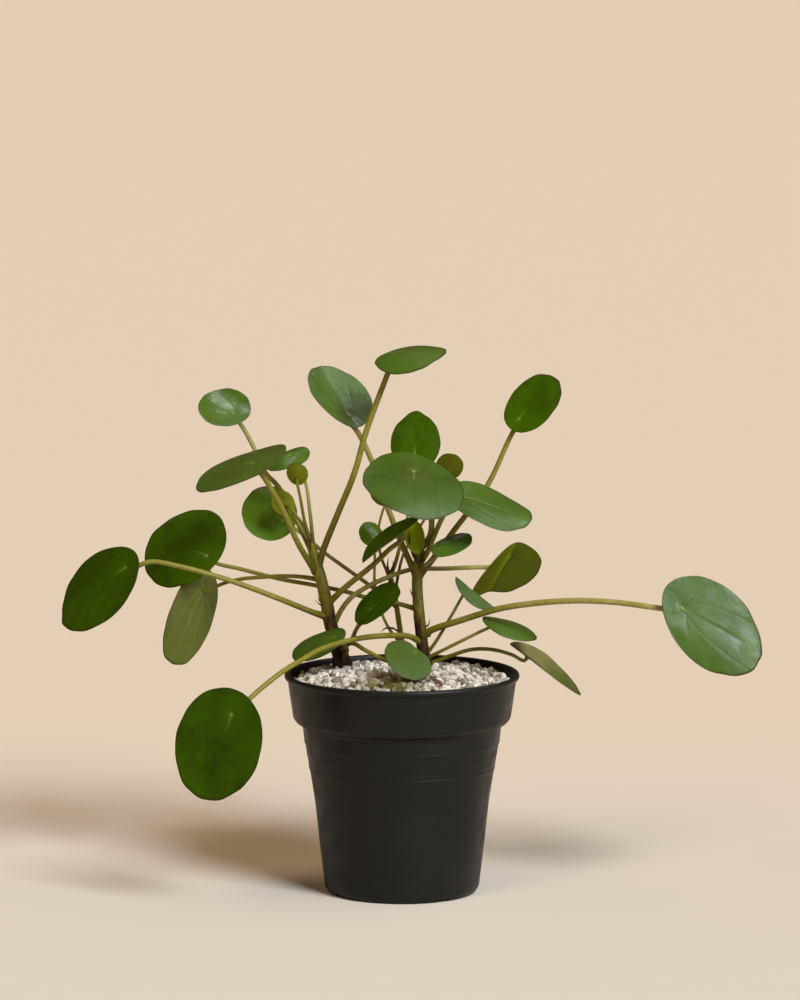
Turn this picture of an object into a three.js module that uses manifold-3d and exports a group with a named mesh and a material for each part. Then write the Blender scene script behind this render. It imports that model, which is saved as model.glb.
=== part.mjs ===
// Potted pilea: a round-leaved house plant in a thin plastic nursery pot, topped with pumice chips.
// Millimetres, +Z up. The origin is the centre of the pot's base, at the level it stands on.
// The plant's front looks along -Y, and +X is to the right of someone who faces it.

import * as THREE from 'three';
import { mergeVertices } from 'three/addons/utils/BufferGeometryUtils.js';
import Module from 'manifold-3d';

const wasm = await Module();
wasm.setup();

// Driving dimensions of the pot and its filling
const TURNED_SIDES = 36;
const FLOOR_TOP = 4.1;
const RAISED_FLOOR_UNDERSIDE = 2.2;
const CENTRE_PAD_RADIUS = 14;
const FOOT_INNER_RADIUS = 32.4;
const DRAIN_HOLE_RADIUS = 4;
const DRAIN_RING_RADIUS = 23;
const DRAIN_HOLES = 8;
const FOOT_NOTCHES = 4;
const CLEARANCE = 0.3;
const STEM_HOLE_MARGIN = 0.45;
const SOIL_TOP = 101;
const CHIP_BED_BOTTOM = 101.4;
const CHIP_BED_TOP = 106.2;
const CHIP_BED_RADIUS = 55.7;
const CHIP_PITCH = 9.6;
const CHIP_SMALLEST = 4.4;
const CHIP_LARGEST = 5;

// Driving dimensions of the plant
const BLADE_THICKNESS = 0.8;
const NECK_LENGTH = 3;
const STEM_SIDES = 8;
const STEM_STEP = 6;
const PETIOLE_STEP = 12.5;

// The pot's outer wall as [radius, height]: foot, tapered wall, stepped shoulder, band and rim
const POT_OUTSIDE = [
  [37.7, 0], [39.4, 3], [42.1, 25.8], [44.3, 46.4], [46.9, 63], [47.5, 63.8], [47.3, 65], [49.2, 76],
  [49.7, 76.8], [49.6, 78], [50.5, 85], [51.3, 86.2], [53.9, 87.7], [55.4, 89.8], [57.9, 107], [58.2, 109],
];
const POT_INSIDE = [
  [57, 110.6], [56.7, 107], [54.3, 91], [53, 89], [50.2, 87.3], [49.2, 85], [47.9, 76], [46, 65],
  [43.1, 46.4], [40.9, 25.8], [38.6, 6.5], [36.6, FLOOR_TOP],
];
const RIM = { radius: 59.9, height: 112.5 };

// Colours, as the eye sees them in daylight
const FINISHES = {
  pot: { color: '#3a3b3e', roughness: 0.45, metalness: 0 },
  soil: { color: '#3a2c22', roughness: 1, metalness: 0 },
  pumice: { color: '#d9d4cc', roughness: 0.95, metalness: 0 },
  stem: { color: '#7d8238', roughness: 0.6, metalness: 0 },
  leaf: { color: '#3c6b2c', roughness: 0.35, metalness: 0 },
  youngLeaf: { color: '#6d7a2c', roughness: 0.45, metalness: 0 },
};

// The three upright stems as [x, y, z, radius], from their buried end to their growing tip
const STEMS = {
  left: [
    [-27, 27, 82, 2.6], [-29, 26, 96, 4], [-30, 24, 108, 4.8], [-31.5, 23, 117, 4.6], [-34, 22, 126, 3.5],
    [-36.5, 21, 134, 3.3], [-38.5, 20, 145, 3.2], [-41.5, 20, 158, 3], [-44.5, 20, 168, 2.9],
    [-47, 20, 178, 2],
  ],
  right: [
    [15, 35, 82, 2.4], [14, 34, 96, 3.6], [13, 32, 110, 3.7], [11, 31, 118, 3.2], [9.7, 30, 129, 3],
    [8.5, 30, 141, 2.9], [7.8, 30, 153, 2.8], [8.2, 30, 161, 2.8], [9, 30, 169, 2.6], [10, 30, 181, 1.6],
  ],
  back: [
    [4, 42, 84, 1.2], [3, 44, 98, 1.7], [1, 46, 114, 1.6], [-1, 46, 127, 1.5], [-3, 46, 141, 1.4],
    [-5, 46, 152, 1.3], [-7, 46, 159, 0.8],
  ],
};

// The leaves. hub is where the petiole meets the blade, tip the way the blade's far end points, and
// face the way its upper side looks. share is the part of the length behind the hub. dome is how far
// the edge lies below the middle, fold how far the two sides rise along the midrib, wave the height of
// the edge's ripples, lean how far the outline sits to one side, point how far its tip is drawn out, and
// notch the part of the length by which the edge behind the hub is drawn in. route leads the petiole
// from its stem to near the hub, and stalk is its radius at the two ends.
const LEAVES = [
  {
    name: 'leaf_01_high_left', stem: 'left', hub: [-86, 34, 241], tip: [-0.82, 0.47, 0.33],
    face: [-0.08, -0.67, 0.74], length: 28, width: 25, share: 0.3, dome: -1.5, fold: 0, wave: 0.4,
    route: [
      [-44, 20, 166], [-49, 24, 177], [-62.5, 34, 202], [-70.2, 39, 210], [-75.2, 40, 221], [-82, 38, 234],
    ],
    stalk: [1.4, 1.1],
  },
  {
    name: 'leaf_02_tilted_left', stem: 'left', hub: [-75, -8, 221], tip: [-0.7, 0.68, -0.33],
    face: [-0.46, -0.17, 0.87], length: 57, width: 43, share: 0.33, dome: 2, fold: 0, wave: 0.6,
    route: [[-44, 20, 161], [-52, 8, 176], [-61.3, -2, 198], [-69.6, -6, 213]], stalk: [1.6, 1.3],
  },
  {
    name: 'leaf_03_glossy_left', stem: 'left', hub: [-57, 25, 220.5], tip: [-0.7, -0.35, -0.3],
    face: [-0.25, -0.32, 0.88], length: 24, width: 21, share: 0.42, dome: 2, fold: 0, wave: 0.5,
    route: [[-45, 20, 171], [-47, 23, 192], [-49.8, 27, 208]], stalk: [1, 0.8],
  },
  {
    name: 'leaf_04_young_left', stem: 'left', hub: [-53, 11.5, 210], tip: [-0.1, -0.35, 0.9], young: true,
    face: [0.1, 0.9, 0.4], length: 13, width: 11, share: 0.3, dome: -1, fold: 0.5, wave: 0,
    route: [[-45, 20, 173], [-49.2, 17, 186], [-51.3, 11, 198.5], [-52.5, 9, 205]], stalk: [0.9, 0.7],
  },
  {
    name: 'leaf_05_round_left', stem: 'back', hub: [-61.2, 36, 185], tip: [-0.82, 0.31, 0.45],
    face: [-0.22, -0.95, 0.25], length: 30, width: 27.5, share: 0.24, dome: -1.5, fold: 0, wave: 0.4,
    route: [[-2.5, 46, 139], [-17, 49, 150], [-40, 48, 167], [-52, 43, 178]], stalk: [1.1, 0.9],
  },
  {
    name: 'leaf_06_pale_left', stem: 'left', hub: [-59, 24, 194], tip: [-0.6, 0.3, 0.7], young: true,
    face: [-0.25, 0.85, -0.3], length: 14, width: 12.5, share: 0.32, dome: -1, fold: 0.5, wave: 0,
    route: [[-46, 20, 175], [-50, 20, 185], [-54, 20, 190]], stalk: [0.9, 0.7],
  },
  {
    name: 'leaf_07_upper_middle', stem: 'right', hub: [-27.3, 35, 240.4], tip: [-0.48, 0.5, 0.7],
    face: [0.48, -0.54, 0.69], length: 40, width: 36, share: 0.22, dome: 0, fold: 3, wave: 0.5,
    route: [[7.5, 30, 157], [-1, 32, 176], [-8, 36, 194], [-16, 39, 217], [-23, 39, 231]], stalk: [1.6, 1.3],
  },
  {
    name: 'leaf_08_top', stem: 'left', hub: [-5, 8, 274.8], tip: [0.86, -0.45, 0.18],
    face: [-0.22, -0.25, 0.94], length: 38, width: 32, share: 0.24, dome: 5.8, fold: 0, wave: 0.3,
    route: [
      [-43, 20, 162], [-40, 17, 173], [-32.2, 13, 193], [-24.2, 10, 213], [-18, 9, 235], [-8.4, 9.5, 261],
    ],
    stalk: [1.7, 1.4],
  },
  {
    name: 'leaf_09_pointed_middle', stem: 'back', hub: [6.7, 51, 218.3], tip: [-0.03, 0.37, 0.93],
    face: [-0.2, -0.9, 0.38], length: 31, width: 26, share: 0.33, dome: 1, fold: 1, wave: 0.5,
    point: 0.12, lean: 0.4, stalk: [1, 0.8],
    route: [[-6.3, 46, 155], [-4, 46.5, 160], [-1, 49, 170], [4, 53, 189], [7, 56, 207]],
  },
  {
    name: 'leaf_10_broad_front', stem: 'right', hub: [6, -12, 217], tip: [0.03, -0.88, -0.46],
    face: [0.2, -0.44, 0.87], length: 56, width: 52, share: 0.31, dome: 2.5, fold: 0, wave: 0.8,
    route: [[9, 30, 171], [14, 26, 178], [15, 18, 189], [11, 4, 203]], stalk: [1.6, 1.3],
  },
  {
    name: 'leaf_11_young_right', stem: 'back', hub: [24, 50, 209], tip: [0.2, -0.4, 0.88], young: true,
    face: [0.1, 0.9, 0.4], length: 16, width: 14, share: 0.35, dome: -1, fold: 0.5, wave: 0,
    route: [[-3.6, 46, 145], [-2, 48, 155], [1, 51, 166], [10, 52, 181], [20, 48, 198]], stalk: [0.8, 0.6],
  },
  {
    name: 'leaf_12_young_middle', stem: 'back', hub: [-8, 53, 195], tip: [-0.45, -0.3, 0.8], young: true,
    face: [-0.1, 0.9, 0.35], length: 16, width: 14, share: 0.35, dome: -1, fold: 0.5, wave: 0,
    route: [[-5.8, 46, 152], [-7.5, 45, 157], [-11, 46, 166], [-12, 48, 179], [-10, 49, 188]],
    stalk: [0.8, 0.6],
  },
  {
    name: 'leaf_13_broad_right', stem: 'right', hub: [31, 5, 202], tip: [0.93, -0.1, -0.38],
    face: [0.27, -0.43, 0.86], length: 46, width: 36, share: 0.2, dome: 2, fold: 0, wave: 1.2, lean: -1.5,
    route: [[9, 30, 164], [13, 28, 170], [16, 24, 178], [22, 15, 192], [28, 8, 199]], stalk: [1.4, 1.1],
  },
  {
    name: 'leaf_14_high_right', stem: 'right', hub: [60, 35, 238], tip: [0.67, 0.2, 0.7],
    face: [-0.47, -0.68, 0.56], length: 35, width: 30, share: 0.2, dome: 0.5, fold: 0.5, wave: 0.4,
    route: [[8.5, 30, 157], [18, 30, 169], [26, 31, 180], [44, 35, 204], [57, 38, 231]], stalk: [1.6, 1.2],
  },
  {
    name: 'leaf_15_broad_left', stem: 'right', hub: [-100.4, 40, 166.6], tip: [-0.78, 0.55, 0.25],
    face: [-0.4, -0.66, 0.63], length: 46, width: 48, share: 0.17, dome: 1.5, fold: 0, wave: 0.7,
    route: [
      [8.6, 30, 140], [-5, 36, 143], [-18, 38, 145], [-29, 39, 148], [-45, 41, 151], [-63, 43, 154],
      [-83, 44, 159], [-95, 43, 162],
    ],
    stalk: [1.2, 1],
  },
  {
    name: 'leaf_16_far_left', stem: 'left', hub: [-140, -5, 167], tip: [-0.76, 0.28, -0.6],
    face: [-0.63, -0.57, 0.52], length: 54, width: 45, share: 0.17, dome: 0.5, fold: 2, wave: 0.8, lean: -2,
    route: [[-39, 20, 138], [-46, 16, 141], [-62, 10, 148.5], [-87, 3, 159], [-112, -2, 167], [-128, -3, 169.6]],
    stalk: [1.5, 1.2],
  },
  {
    name: 'leaf_17_hanging_left', stem: 'left', hub: [-103, 58, 146], tip: [-0.33, -0.4, -0.85],
    face: [-0.83, 0.52, 0.16], length: 53, width: 45, share: 0.2, dome: 1.5, fold: 0, wave: 0.5, lean: -1.5,
    route: [[-42, 20, 157], [-52, 25, 157.8], [-62, 30, 157.4], [-73, 35, 156], [-83, 42, 154], [-94, 53, 149.4]],
    stalk: [1.1, 0.9],
  },
  {
    name: 'leaf_18_low_front', stem: 'right', hub: [-85, -60, 101], tip: [-0.31, 0.06, -0.95],
    face: [-0.42, -0.88, 0.12], length: 57, width: 48, share: 0.22, dome: -1, fold: 0, wave: 0.6,
    point: 0.04, lean: 1.2, stalk: [1.5, 1.2],
    route: [
      [11, 31, 122], [4, 24, 127], [-5, 15, 129], [-15, 5, 130], [-25, -5, 130], [-41, -23, 128],
      [-51, -34, 124], [-61, -43, 119], [-75, -54, 109],
    ],
  },
  {
    name: 'leaf_19_foot_left', stem: 'left', hub: [-33.8, 2, 130.5], tip: [-0.8, 0.3, -0.5],
    face: [-0.45, -0.35, 0.82], length: 31, width: 24, share: 0.18, dome: 2, fold: 0, wave: 0.3,
    route: [[-31.5, 23, 115], [-28, 15, 121], [-29.5, 7, 125.5]], stalk: [1.1, 0.9],
  },
  {
    name: 'leaf_20_middle', stem: 'left', hub: [-15.8, -4, 145.7], tip: [0.72, -0.3, 0.55],
    face: [-0.6, -0.42, 0.65], length: 29, width: 25, share: 0.35, dome: 0, fold: 1.5, wave: 0.3,
    route: [[-32, 22, 120], [-26, 11, 127], [-22, 3, 136]], stalk: [1.2, 1],
  },
  {
    name: 'leaf_21_small_middle', stem: 'back', hub: [-14.5, 33, 177], tip: [-0.5, 0.25, 0.8],
    face: [0.26, -0.85, 0.44], length: 14, width: 12.5, share: 0.35, dome: 1, fold: 0, wave: 0,
    route: [[0.5, 46, 119], [-6, 44, 127], [-11, 42, 138], [-14, 39, 153], [-14, 37, 168]], stalk: [0.8, 0.7],
  },
  {
    name: 'leaf_22_slanted_middle', stem: 'left', hub: [-1, 4, 183], tip: [-0.79, 0, -0.61],
    face: [-0.6, -0.12, 0.79], length: 36, width: 26, share: 0.33, dome: 0, fold: 4, wave: 0.3,
    route: [[-38.3, 20, 144], [-29, 13, 154], [-14, 8, 167], [-6, 6, 175]], stalk: [1.6, 1.2],
  },
  {
    name: 'leaf_23_small_right', stem: 'right', hub: [19, 6, 175], tip: [0.9, 0.1, 0.3],
    face: [-0.25, -0.55, 0.8], length: 22, width: 15, share: 0.2, dome: 1, fold: 0, wave: 0.3,
    route: [[8.2, 30, 160], [12.5, 21, 165], [16, 12, 169]], stalk: [1, 0.8],
  },
  {
    name: 'leaf_24_folded_right', stem: 'left', hub: [55.2, 50, 164.3], tip: [-0.36, -0.8, -0.5], young: true,
    face: [-0.42, -0.34, 0.84], length: 43, width: 38, share: 0.28, dome: 0, fold: -7, wave: 0.5,
    point: -0.1, lean: 0.2, stalk: [1.3, 1.1],
    route: [
      [-36, 21, 131], [-31, 22, 141], [-26, 25, 147], [-17, 32, 152], [-9, 37, 155], [4, 41, 159],
      [22, 52, 158], [40, 67, 156.5], [50, 64, 157],
    ],
  },
  {
    name: 'leaf_25_slim_right', stem: 'right', hub: [34.2, 22, 152.8], tip: [0.77, -0.05, -0.64],
    face: [0.62, -0.12, 0.77], length: 26, width: 14, share: 0.33, dome: 0, fold: -5, wave: 0.2,
    route: [[12, 31, 116], [17, 29, 123], [26, 24, 139]], stalk: [0.9, 0.7],
  },
  {
    name: 'leaf_26_low_right', stem: 'right', hub: [46, 16, 136], tip: [0.93, 0.2, -0.33],
    face: [0.34, -0.2, 0.91], length: 30, width: 25, share: 0.17, dome: 2, fold: 0, wave: 0.3,
    route: [[12.4, 31, 114.5], [25, 24, 122], [40, 18, 130.5]], stalk: [0.9, 0.8],
  },
  {
    name: 'leaf_27_drooping_right', stem: 'right', hub: [64.5, 28, 116], tip: [0.8, 0, -0.6],
    face: [0.6, -0.12, 0.79], length: 45, width: 28, share: 0.25, dome: 0, fold: 3.5, wave: 0.5,
    route: [[13, 32, 111], [25, 30.5, 116], [36, 29, 119.5], [47, 28, 119.5], [57, 28, 116.6]],
    stalk: [1.1, 0.9],
  },
  {
    name: 'leaf_28_small_front', stem: 'left', hub: [7, -17, 126], tip: [-0.55, -0.6, -0.55],
    face: [0.35, -0.62, 0.68], length: 24, width: 26, share: 0.18, dome: 0.5, fold: 0, wave: 0.3,
    notch: 0.1,
    route: [[-32, 22, 119], [-26, 12, 125.5], [-18, 0, 123.5], [-7, -8, 119.5], [2, -13, 120]], stalk: [1.2, 1],
  },
  {
    name: 'leaf_29_far_right', stem: 'right', hub: [141.5, -20, 148.7], tip: [0.8, 0.26, -0.51],
    face: [0.54, -0.63, 0.56], length: 62.5, width: 55, share: 0.2, dome: 1.5, fold: 1, wave: 0.7, lean: 0.3,
    route: [
      [9.9, 30, 126], [15, 26, 130], [30, 20, 136], [50, 11, 143.5], [70, 3, 147.7], [90, -5, 150],
      [110, -12, 150], [128, -18, 148.4],
    ],
    stalk: [1.7, 1.4],
  },
  {
    name: 'leaf_30_rolled_top', stem: 'right', hub: [8.5, 22, 172], tip: [-0.3, -0.1, 0.94], young: true,
    face: [-0.35, -0.8, 0.2], length: 17, width: 11, share: 0.12, dome: 0, fold: 3, wave: 0,
    route: [[9, 30, 163], [9, 26.5, 168]], stalk: [0.9, 0.8],
  },
];

// A small repeatable source of random numbers between 0 and 1
function seededRandom(seed) {
  let state = seed;
  return () => {
    state = (state * 1664525 + 1013904223) % 4294967296;
    return state / 4294967296;
  };
}

// A closed solid from a three.js shape, with shared corners merged and flat slivers dropped
function toSolid(shape) {
  const bare = shape.clone();
  bare.deleteAttribute('normal');
  bare.deleteAttribute('uv');
  const merged = mergeVertices(bare, 1e-4);
  const corners = [];
  for (let first = 0; first < merged.index.count; first += 3) {
    const [a, b, c] = [first, first + 1, first + 2].map((slot) => merged.index.getX(slot));
    if (a !== b && b !== c && c !== a) {
      corners.push(a, b, c);
    }
  }
  return new wasm.Manifold(new wasm.Mesh({
    numProp: 3,
    vertProperties: new Float32Array(merged.attributes.position.array),
    triVerts: new Uint32Array(corners),
  }));
}

// A three.js geometry from a solid
function toGeometry(solid) {
  const mesh = solid.getMesh();
  const geometry = new THREE.BufferGeometry();
  geometry.setAttribute('position', new THREE.BufferAttribute(mesh.vertProperties, 3));
  geometry.setIndex(new THREE.BufferAttribute(mesh.triVerts, 1));
  geometry.computeVertexNormals();
  return geometry;
}

// The largest body of a solid, without the scraps that a cut leaves
function mainBody(solid) {
  return solid.decompose().reduce((best, piece) => (piece.volume() > best.volume() ? piece : best));
}

// A body turned about the upright axis from a closed profile of [radius, height] points
function turned(profile, sides = TURNED_SIDES) {
  const points = profile.map(([radius, height]) => new THREE.Vector2(radius, height));
  return new THREE.LatheGeometry(points, sides).rotateX(Math.PI / 2);
}

// A closed round stalk along a smooth curve, with its radius given all along it
function stalk(waypoints, radiusAt, sides, spacing) {
  const points = waypoints.map((point) => new THREE.Vector3(...point));
  const curve = new THREE.CatmullRomCurve3(points, false, 'centripetal');
  const steps = Math.max(3, Math.round(curve.getLength() / spacing));
  const profile = [new THREE.Vector2(0, 0)];
  for (let step = 0; step <= steps; step += 1) {
    profile.push(new THREE.Vector2(radiusAt(step / steps), step));
  }
  profile.push(new THREE.Vector2(0, steps));
  const shape = new THREE.LatheGeometry(profile, sides);
  const frames = curve.computeFrenetFrames(steps);
  const place = shape.attributes.position;
  for (let i = 0; i < place.count; i += 1) {
    const step = Math.round(place.getY(i));
    const spot = curve.getPointAt(step / steps)
      .addScaledVector(frames.normals[step], place.getX(i))
      .addScaledVector(frames.binormals[step], -place.getZ(i));
    place.setXYZ(i, spot.x, spot.y, spot.z);
  }
  return shape;
}

// An upright stem, thickened all round by the given margin
function stemShape(waypoints, margin = 0) {
  const radii = waypoints.map((point) => point[3] + margin);
  const spine = waypoints.map((point) => [point[0], point[1], point[2]]);
  spine[0][2] -= margin;
  const radiusAt = (along) => {
    const place = along * (radii.length - 1);
    const low = Math.min(Math.floor(place), radii.length - 2);
    return THREE.MathUtils.lerp(radii[low], radii[low + 1], place - low);
  };
  return stalk(spine, radiusAt, STEM_SIDES, STEM_STEP);
}

// The blade's own frame: across it, along it to the tip, and up out of its upper face
function bladeFrame(leaf) {
  const up = new THREE.Vector3(...leaf.face).normalize();
  const along = new THREE.Vector3(...leaf.tip).projectOnPlane(up).normalize();
  const across = new THREE.Vector3().crossVectors(along, up);
  return new THREE.Matrix4().makeBasis(across, along, up).setPosition(...leaf.hub);
}

// How high the blade's surface lies over its flat plane, before the hub is set to zero
function bladeLift(leaf, across, along) {
  const side = across / (leaf.width / 2);
  const end = (along - (0.5 - leaf.share) * leaf.length) / (leaf.length / 2);
  const reach = Math.min(1, Math.hypot(side, end));
  const turn = Math.atan2(side, end);
  const ripple = leaf.wave * reach ** 3 * Math.sin(3 * turn + leaf.length);
  return ripple - leaf.dome * (side ** 2 + 0.6 * end ** 2) + leaf.fold * Math.sqrt(side ** 2 + 0.02);
}

// One face of a blade: rings round the hub that widen to the blade's outline
function bladeFace(leaf, margin = 0) {
  const rimPoints = leaf.length > 32 ? 20 : 14;
  const disc = new THREE.RingGeometry(0, 1, rimPoints, 2);
  const place = disc.attributes.position;
  const middle = (0.5 - leaf.share) * leaf.length;
  for (let i = 0; i < place.count; i += 1) {
    const reach = Math.hypot(place.getX(i), place.getY(i));
    const turn = Math.atan2(place.getX(i), place.getY(i));
    const pointed = 1 + (leaf.point ?? 0) * Math.exp(-((turn / 0.45) ** 2));
    const behind = Math.exp(-(((Math.PI - Math.abs(turn)) / 0.5) ** 2));
    const notched = (leaf.notch ?? 0) * leaf.length * behind;
    const across = reach * ((leaf.lean ?? 0) + (leaf.width / 2 + margin) * Math.sin(turn));
    const along = reach * (middle + (leaf.length / 2 + margin) * Math.cos(turn) * pointed + notched);
    place.setXYZ(i, across, along, bladeLift(leaf, across, along) - bladeLift(leaf, 0, 0));
  }
  return disc;
}

// A closed blade: the face and its copy below it, split alike, with a strip round the edge
function bladeShape(leaf, margin = 0) {
  const face = bladeFace(leaf, margin);
  face.deleteAttribute('normal');
  face.deleteAttribute('uv');
  const sheet = mergeVertices(face, 1e-4);
  const count = sheet.attributes.position.count;
  const half = BLADE_THICKNESS / 2 + margin;
  const points = [];
  for (const side of [1, -1]) {
    for (let i = 0; i < count; i += 1) {
      const place = sheet.attributes.position;
      points.push(place.getX(i), place.getY(i), place.getZ(i) + side * half);
    }
  }
  const corners = [];
  const edges = new Map();
  for (let first = 0; first < sheet.index.count; first += 3) {
    const [a, b, c] = [first, first + 1, first + 2].map((slot) => sheet.index.getX(slot));
    if (a === b || b === c || c === a) {
      continue;
    }
    corners.push(a, b, c, a + count, c + count, b + count);
    for (const [from, to] of [[a, b], [b, c], [c, a]]) {
      if (!edges.delete(`${to} ${from}`)) {
        edges.set(`${from} ${to}`, [from, to]);
      }
    }
  }
  for (const [from, to] of edges.values()) {
    corners.push(from, from + count, to, to, from + count, to + count);
  }
  const blade = new THREE.BufferGeometry();
  blade.setAttribute('position', new THREE.Float32BufferAttribute(points, 3));
  blade.setIndex(corners);
  return blade.applyMatrix4(bladeFrame(leaf));
}

// A petiole from inside its stem to the underside of its blade, which it meets square on
function petioleShape(leaf) {
  const frame = bladeFrame(leaf);
  const neck = new THREE.Vector3(0, 0, -NECK_LENGTH).applyMatrix4(frame).toArray();
  const end = new THREE.Vector3(0, 0, 0).applyMatrix4(frame).toArray();
  const [thick, thin] = leaf.stalk;
  const sides = thick > 1.25 ? 6 : 5;
  const radius = (along) => THREE.MathUtils.lerp(thick, thin, along);
  return stalk([...leaf.route, neck, end], radius, sides, PETIOLE_STEP);
}

// The thin-walled pot, with a stepped shoulder, a rolled rim, a ring foot and drain holes
function makePot() {
  const rim = [
    [RIM.radius - 0.4, RIM.height - 2.8], [RIM.radius, RIM.height - 1.5], [RIM.radius - 0.7, RIM.height - 0.2],
    [RIM.radius - 1.7, RIM.height], [RIM.radius - 2.6, RIM.height - 0.6],
  ];
  const underside = [
    [0, FLOOR_TOP], [0, 0], [CENTRE_PAD_RADIUS, 0], [CENTRE_PAD_RADIUS + 1.2, RAISED_FLOOR_UNDERSIDE],
    [FOOT_INNER_RADIUS - 1.2, RAISED_FLOOR_UNDERSIDE], [FOOT_INNER_RADIUS, 0],
  ];
  let pot = toSolid(turned([...underside, ...POT_OUTSIDE, ...rim, ...POT_INSIDE, [0, FLOOR_TOP]]));
  for (let i = 0; i < DRAIN_HOLES; i += 1) {
    const turn = (i / DRAIN_HOLES) * 2 * Math.PI;
    const hole = new THREE.CylinderGeometry(DRAIN_HOLE_RADIUS, DRAIN_HOLE_RADIUS, 8, 12).rotateX(Math.PI / 2);
    hole.translate(DRAIN_RING_RADIUS * Math.cos(turn), DRAIN_RING_RADIUS * Math.sin(turn), FLOOR_TOP);
    pot = pot.subtract(toSolid(hole));
  }
  for (let i = 0; i < FOOT_NOTCHES; i += 1) {
    const turn = ((i + 0.37) / FOOT_NOTCHES) * 2 * Math.PI;
    const notch = new THREE.BoxGeometry(12, 7, 2.4).translate(36.5, 0, 0).rotateZ(turn);
    pot = pot.subtract(toSolid(notch));
  }
  return pot;
}

// The potting soil that fills the pot, with a plain hole for each stem
function makeSoil(stemHoles) {
  const profile = [
    [0, FLOOR_TOP + CLEARANCE], [36.2, FLOOR_TOP + CLEARANCE], [38.1, 7], [42.6, 46.4], [45.5, 65], [47.4, 76],
    [48.7, 85], [49.7, 87.9], [52.5, 89.5], [53.8, 91.4], [55.2, SOIL_TOP], [0, SOIL_TOP],
  ];
  return toSolid(turned(profile)).subtract(stemHoles);
}

// One rough pumice chip
function chipShape(random) {
  const chip = new THREE.IcosahedronGeometry(1, 0);
  chip.deleteAttribute('normal');
  chip.deleteAttribute('uv');
  const merged = mergeVertices(chip, 1e-4);
  const place = merged.attributes.position;
  for (let i = 0; i < place.count; i += 1) {
    const rough = 0.82 + 0.36 * random();
    place.setXYZ(i, place.getX(i) * rough, place.getY(i) * rough, place.getZ(i) * rough);
  }
  const size = THREE.MathUtils.lerp(CHIP_SMALLEST, CHIP_LARGEST, random());
  merged.scale(size, size * (0.8 + 0.2 * random()), size * 0.78);
  merged.rotateZ(random() * Math.PI);
  return merged;
}

// The top dressing: a thin bed with pumice chips sunk into it, heaped a little towards the middle
function makePumice(stemHoles) {
  const random = seededRandom(41);
  const bed = [
    [0, CHIP_BED_BOTTOM], [54.9, CHIP_BED_BOTTOM], [CHIP_BED_RADIUS - 0.3, CHIP_BED_TOP], [0, CHIP_BED_TOP],
  ];
  const chips = [toSolid(turned(bed))];
  const rows = Math.ceil(CHIP_BED_RADIUS / (CHIP_PITCH * 0.866));
  for (let row = -rows; row <= rows; row += 1) {
    for (let column = -rows; column <= rows; column += 1) {
      const x = (column + (Math.abs(row) % 2) / 2 + 0.35 * (random() - 0.5)) * CHIP_PITCH;
      const y = (row * 0.866 + 0.35 * (random() - 0.5)) * CHIP_PITCH;
      const chip = chipShape(random);
      const reach = Math.hypot(x, y);
      if (reach > CHIP_BED_RADIUS - CHIP_SMALLEST * 0.75) {
        continue;
      }
      const inward = Math.min(1, (CHIP_BED_RADIUS - CHIP_LARGEST) / reach);
      const height = CHIP_BED_TOP + 1.4 * (1 - (reach / CHIP_BED_RADIUS) ** 2) + 1.2 * random() - 0.9;
      chips.push(toSolid(chip.translate(x * inward, y * inward, height)));
    }
  }
  const heap = chips.reduce((all, chip) => all.add(chip));
  const room = turned([
    [0, CHIP_BED_BOTTOM], [54.9, CHIP_BED_BOTTOM], [56.2, 108], [56.4, 114], [0, 114],
  ]);
  return mainBody(heap.intersect(toSolid(room)).subtract(stemHoles));
}

// A stem with its petioles, cut clear of the blades
function makeStem(name, clearBlades) {
  let stem = toSolid(stemShape(STEMS[name]));
  for (const leaf of LEAVES.filter((entry) => entry.stem === name)) {
    stem = stem.add(toSolid(petioleShape(leaf)));
  }
  return mainBody(clearBlades.reduce((rest, blade) => rest.subtract(blade), stem));
}

function makeMesh(name, geometry, finish) {
  const mesh = new THREE.Mesh(geometry, new THREE.MeshStandardMaterial(FINISHES[finish]));
  mesh.name = name;
  return mesh;
}

const plant = new THREE.Group();
const stemHoles = Object.values(STEMS)
  .map((waypoints) => toSolid(stemShape(waypoints, STEM_HOLE_MARGIN)))
  .reduce((all, hole) => all.add(hole));
const clearBlades = LEAVES.map((leaf) => toSolid(bladeShape(leaf, CLEARANCE)));

plant.add(makeMesh('pot', toGeometry(makePot()), 'pot'));
plant.add(makeMesh('soil', toGeometry(makeSoil(stemHoles)), 'soil'));
plant.add(makeMesh('pumice', toGeometry(makePumice(stemHoles)), 'pumice'));
for (const name of Object.keys(STEMS)) {
  plant.add(makeMesh(`stem_${name}`, toGeometry(makeStem(name, clearBlades)), 'stem'));
}
for (const leaf of LEAVES) {
  plant.add(makeMesh(leaf.name, toGeometry(toSolid(bladeShape(leaf))), leaf.young ? 'youngLeaf' : 'leaf'));
}

export default plant;
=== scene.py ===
"""The looks of a potted pilea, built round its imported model.

Places and sizes are written in millimetres and become metres in the meshes: +Z up, the origin in the
middle of the pot's base, the plant's front towards -Y and its widest spread along X.
"""

import logging
import math
import random
from collections.abc import Callable, Mapping, Sequence
from dataclasses import dataclass, replace
from enum import Enum
from itertools import pairwise, product

import bmesh
import bpy
from mathutils import Matrix, Vector, noise
from mathutils.geometry import interpolate_bezier


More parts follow.
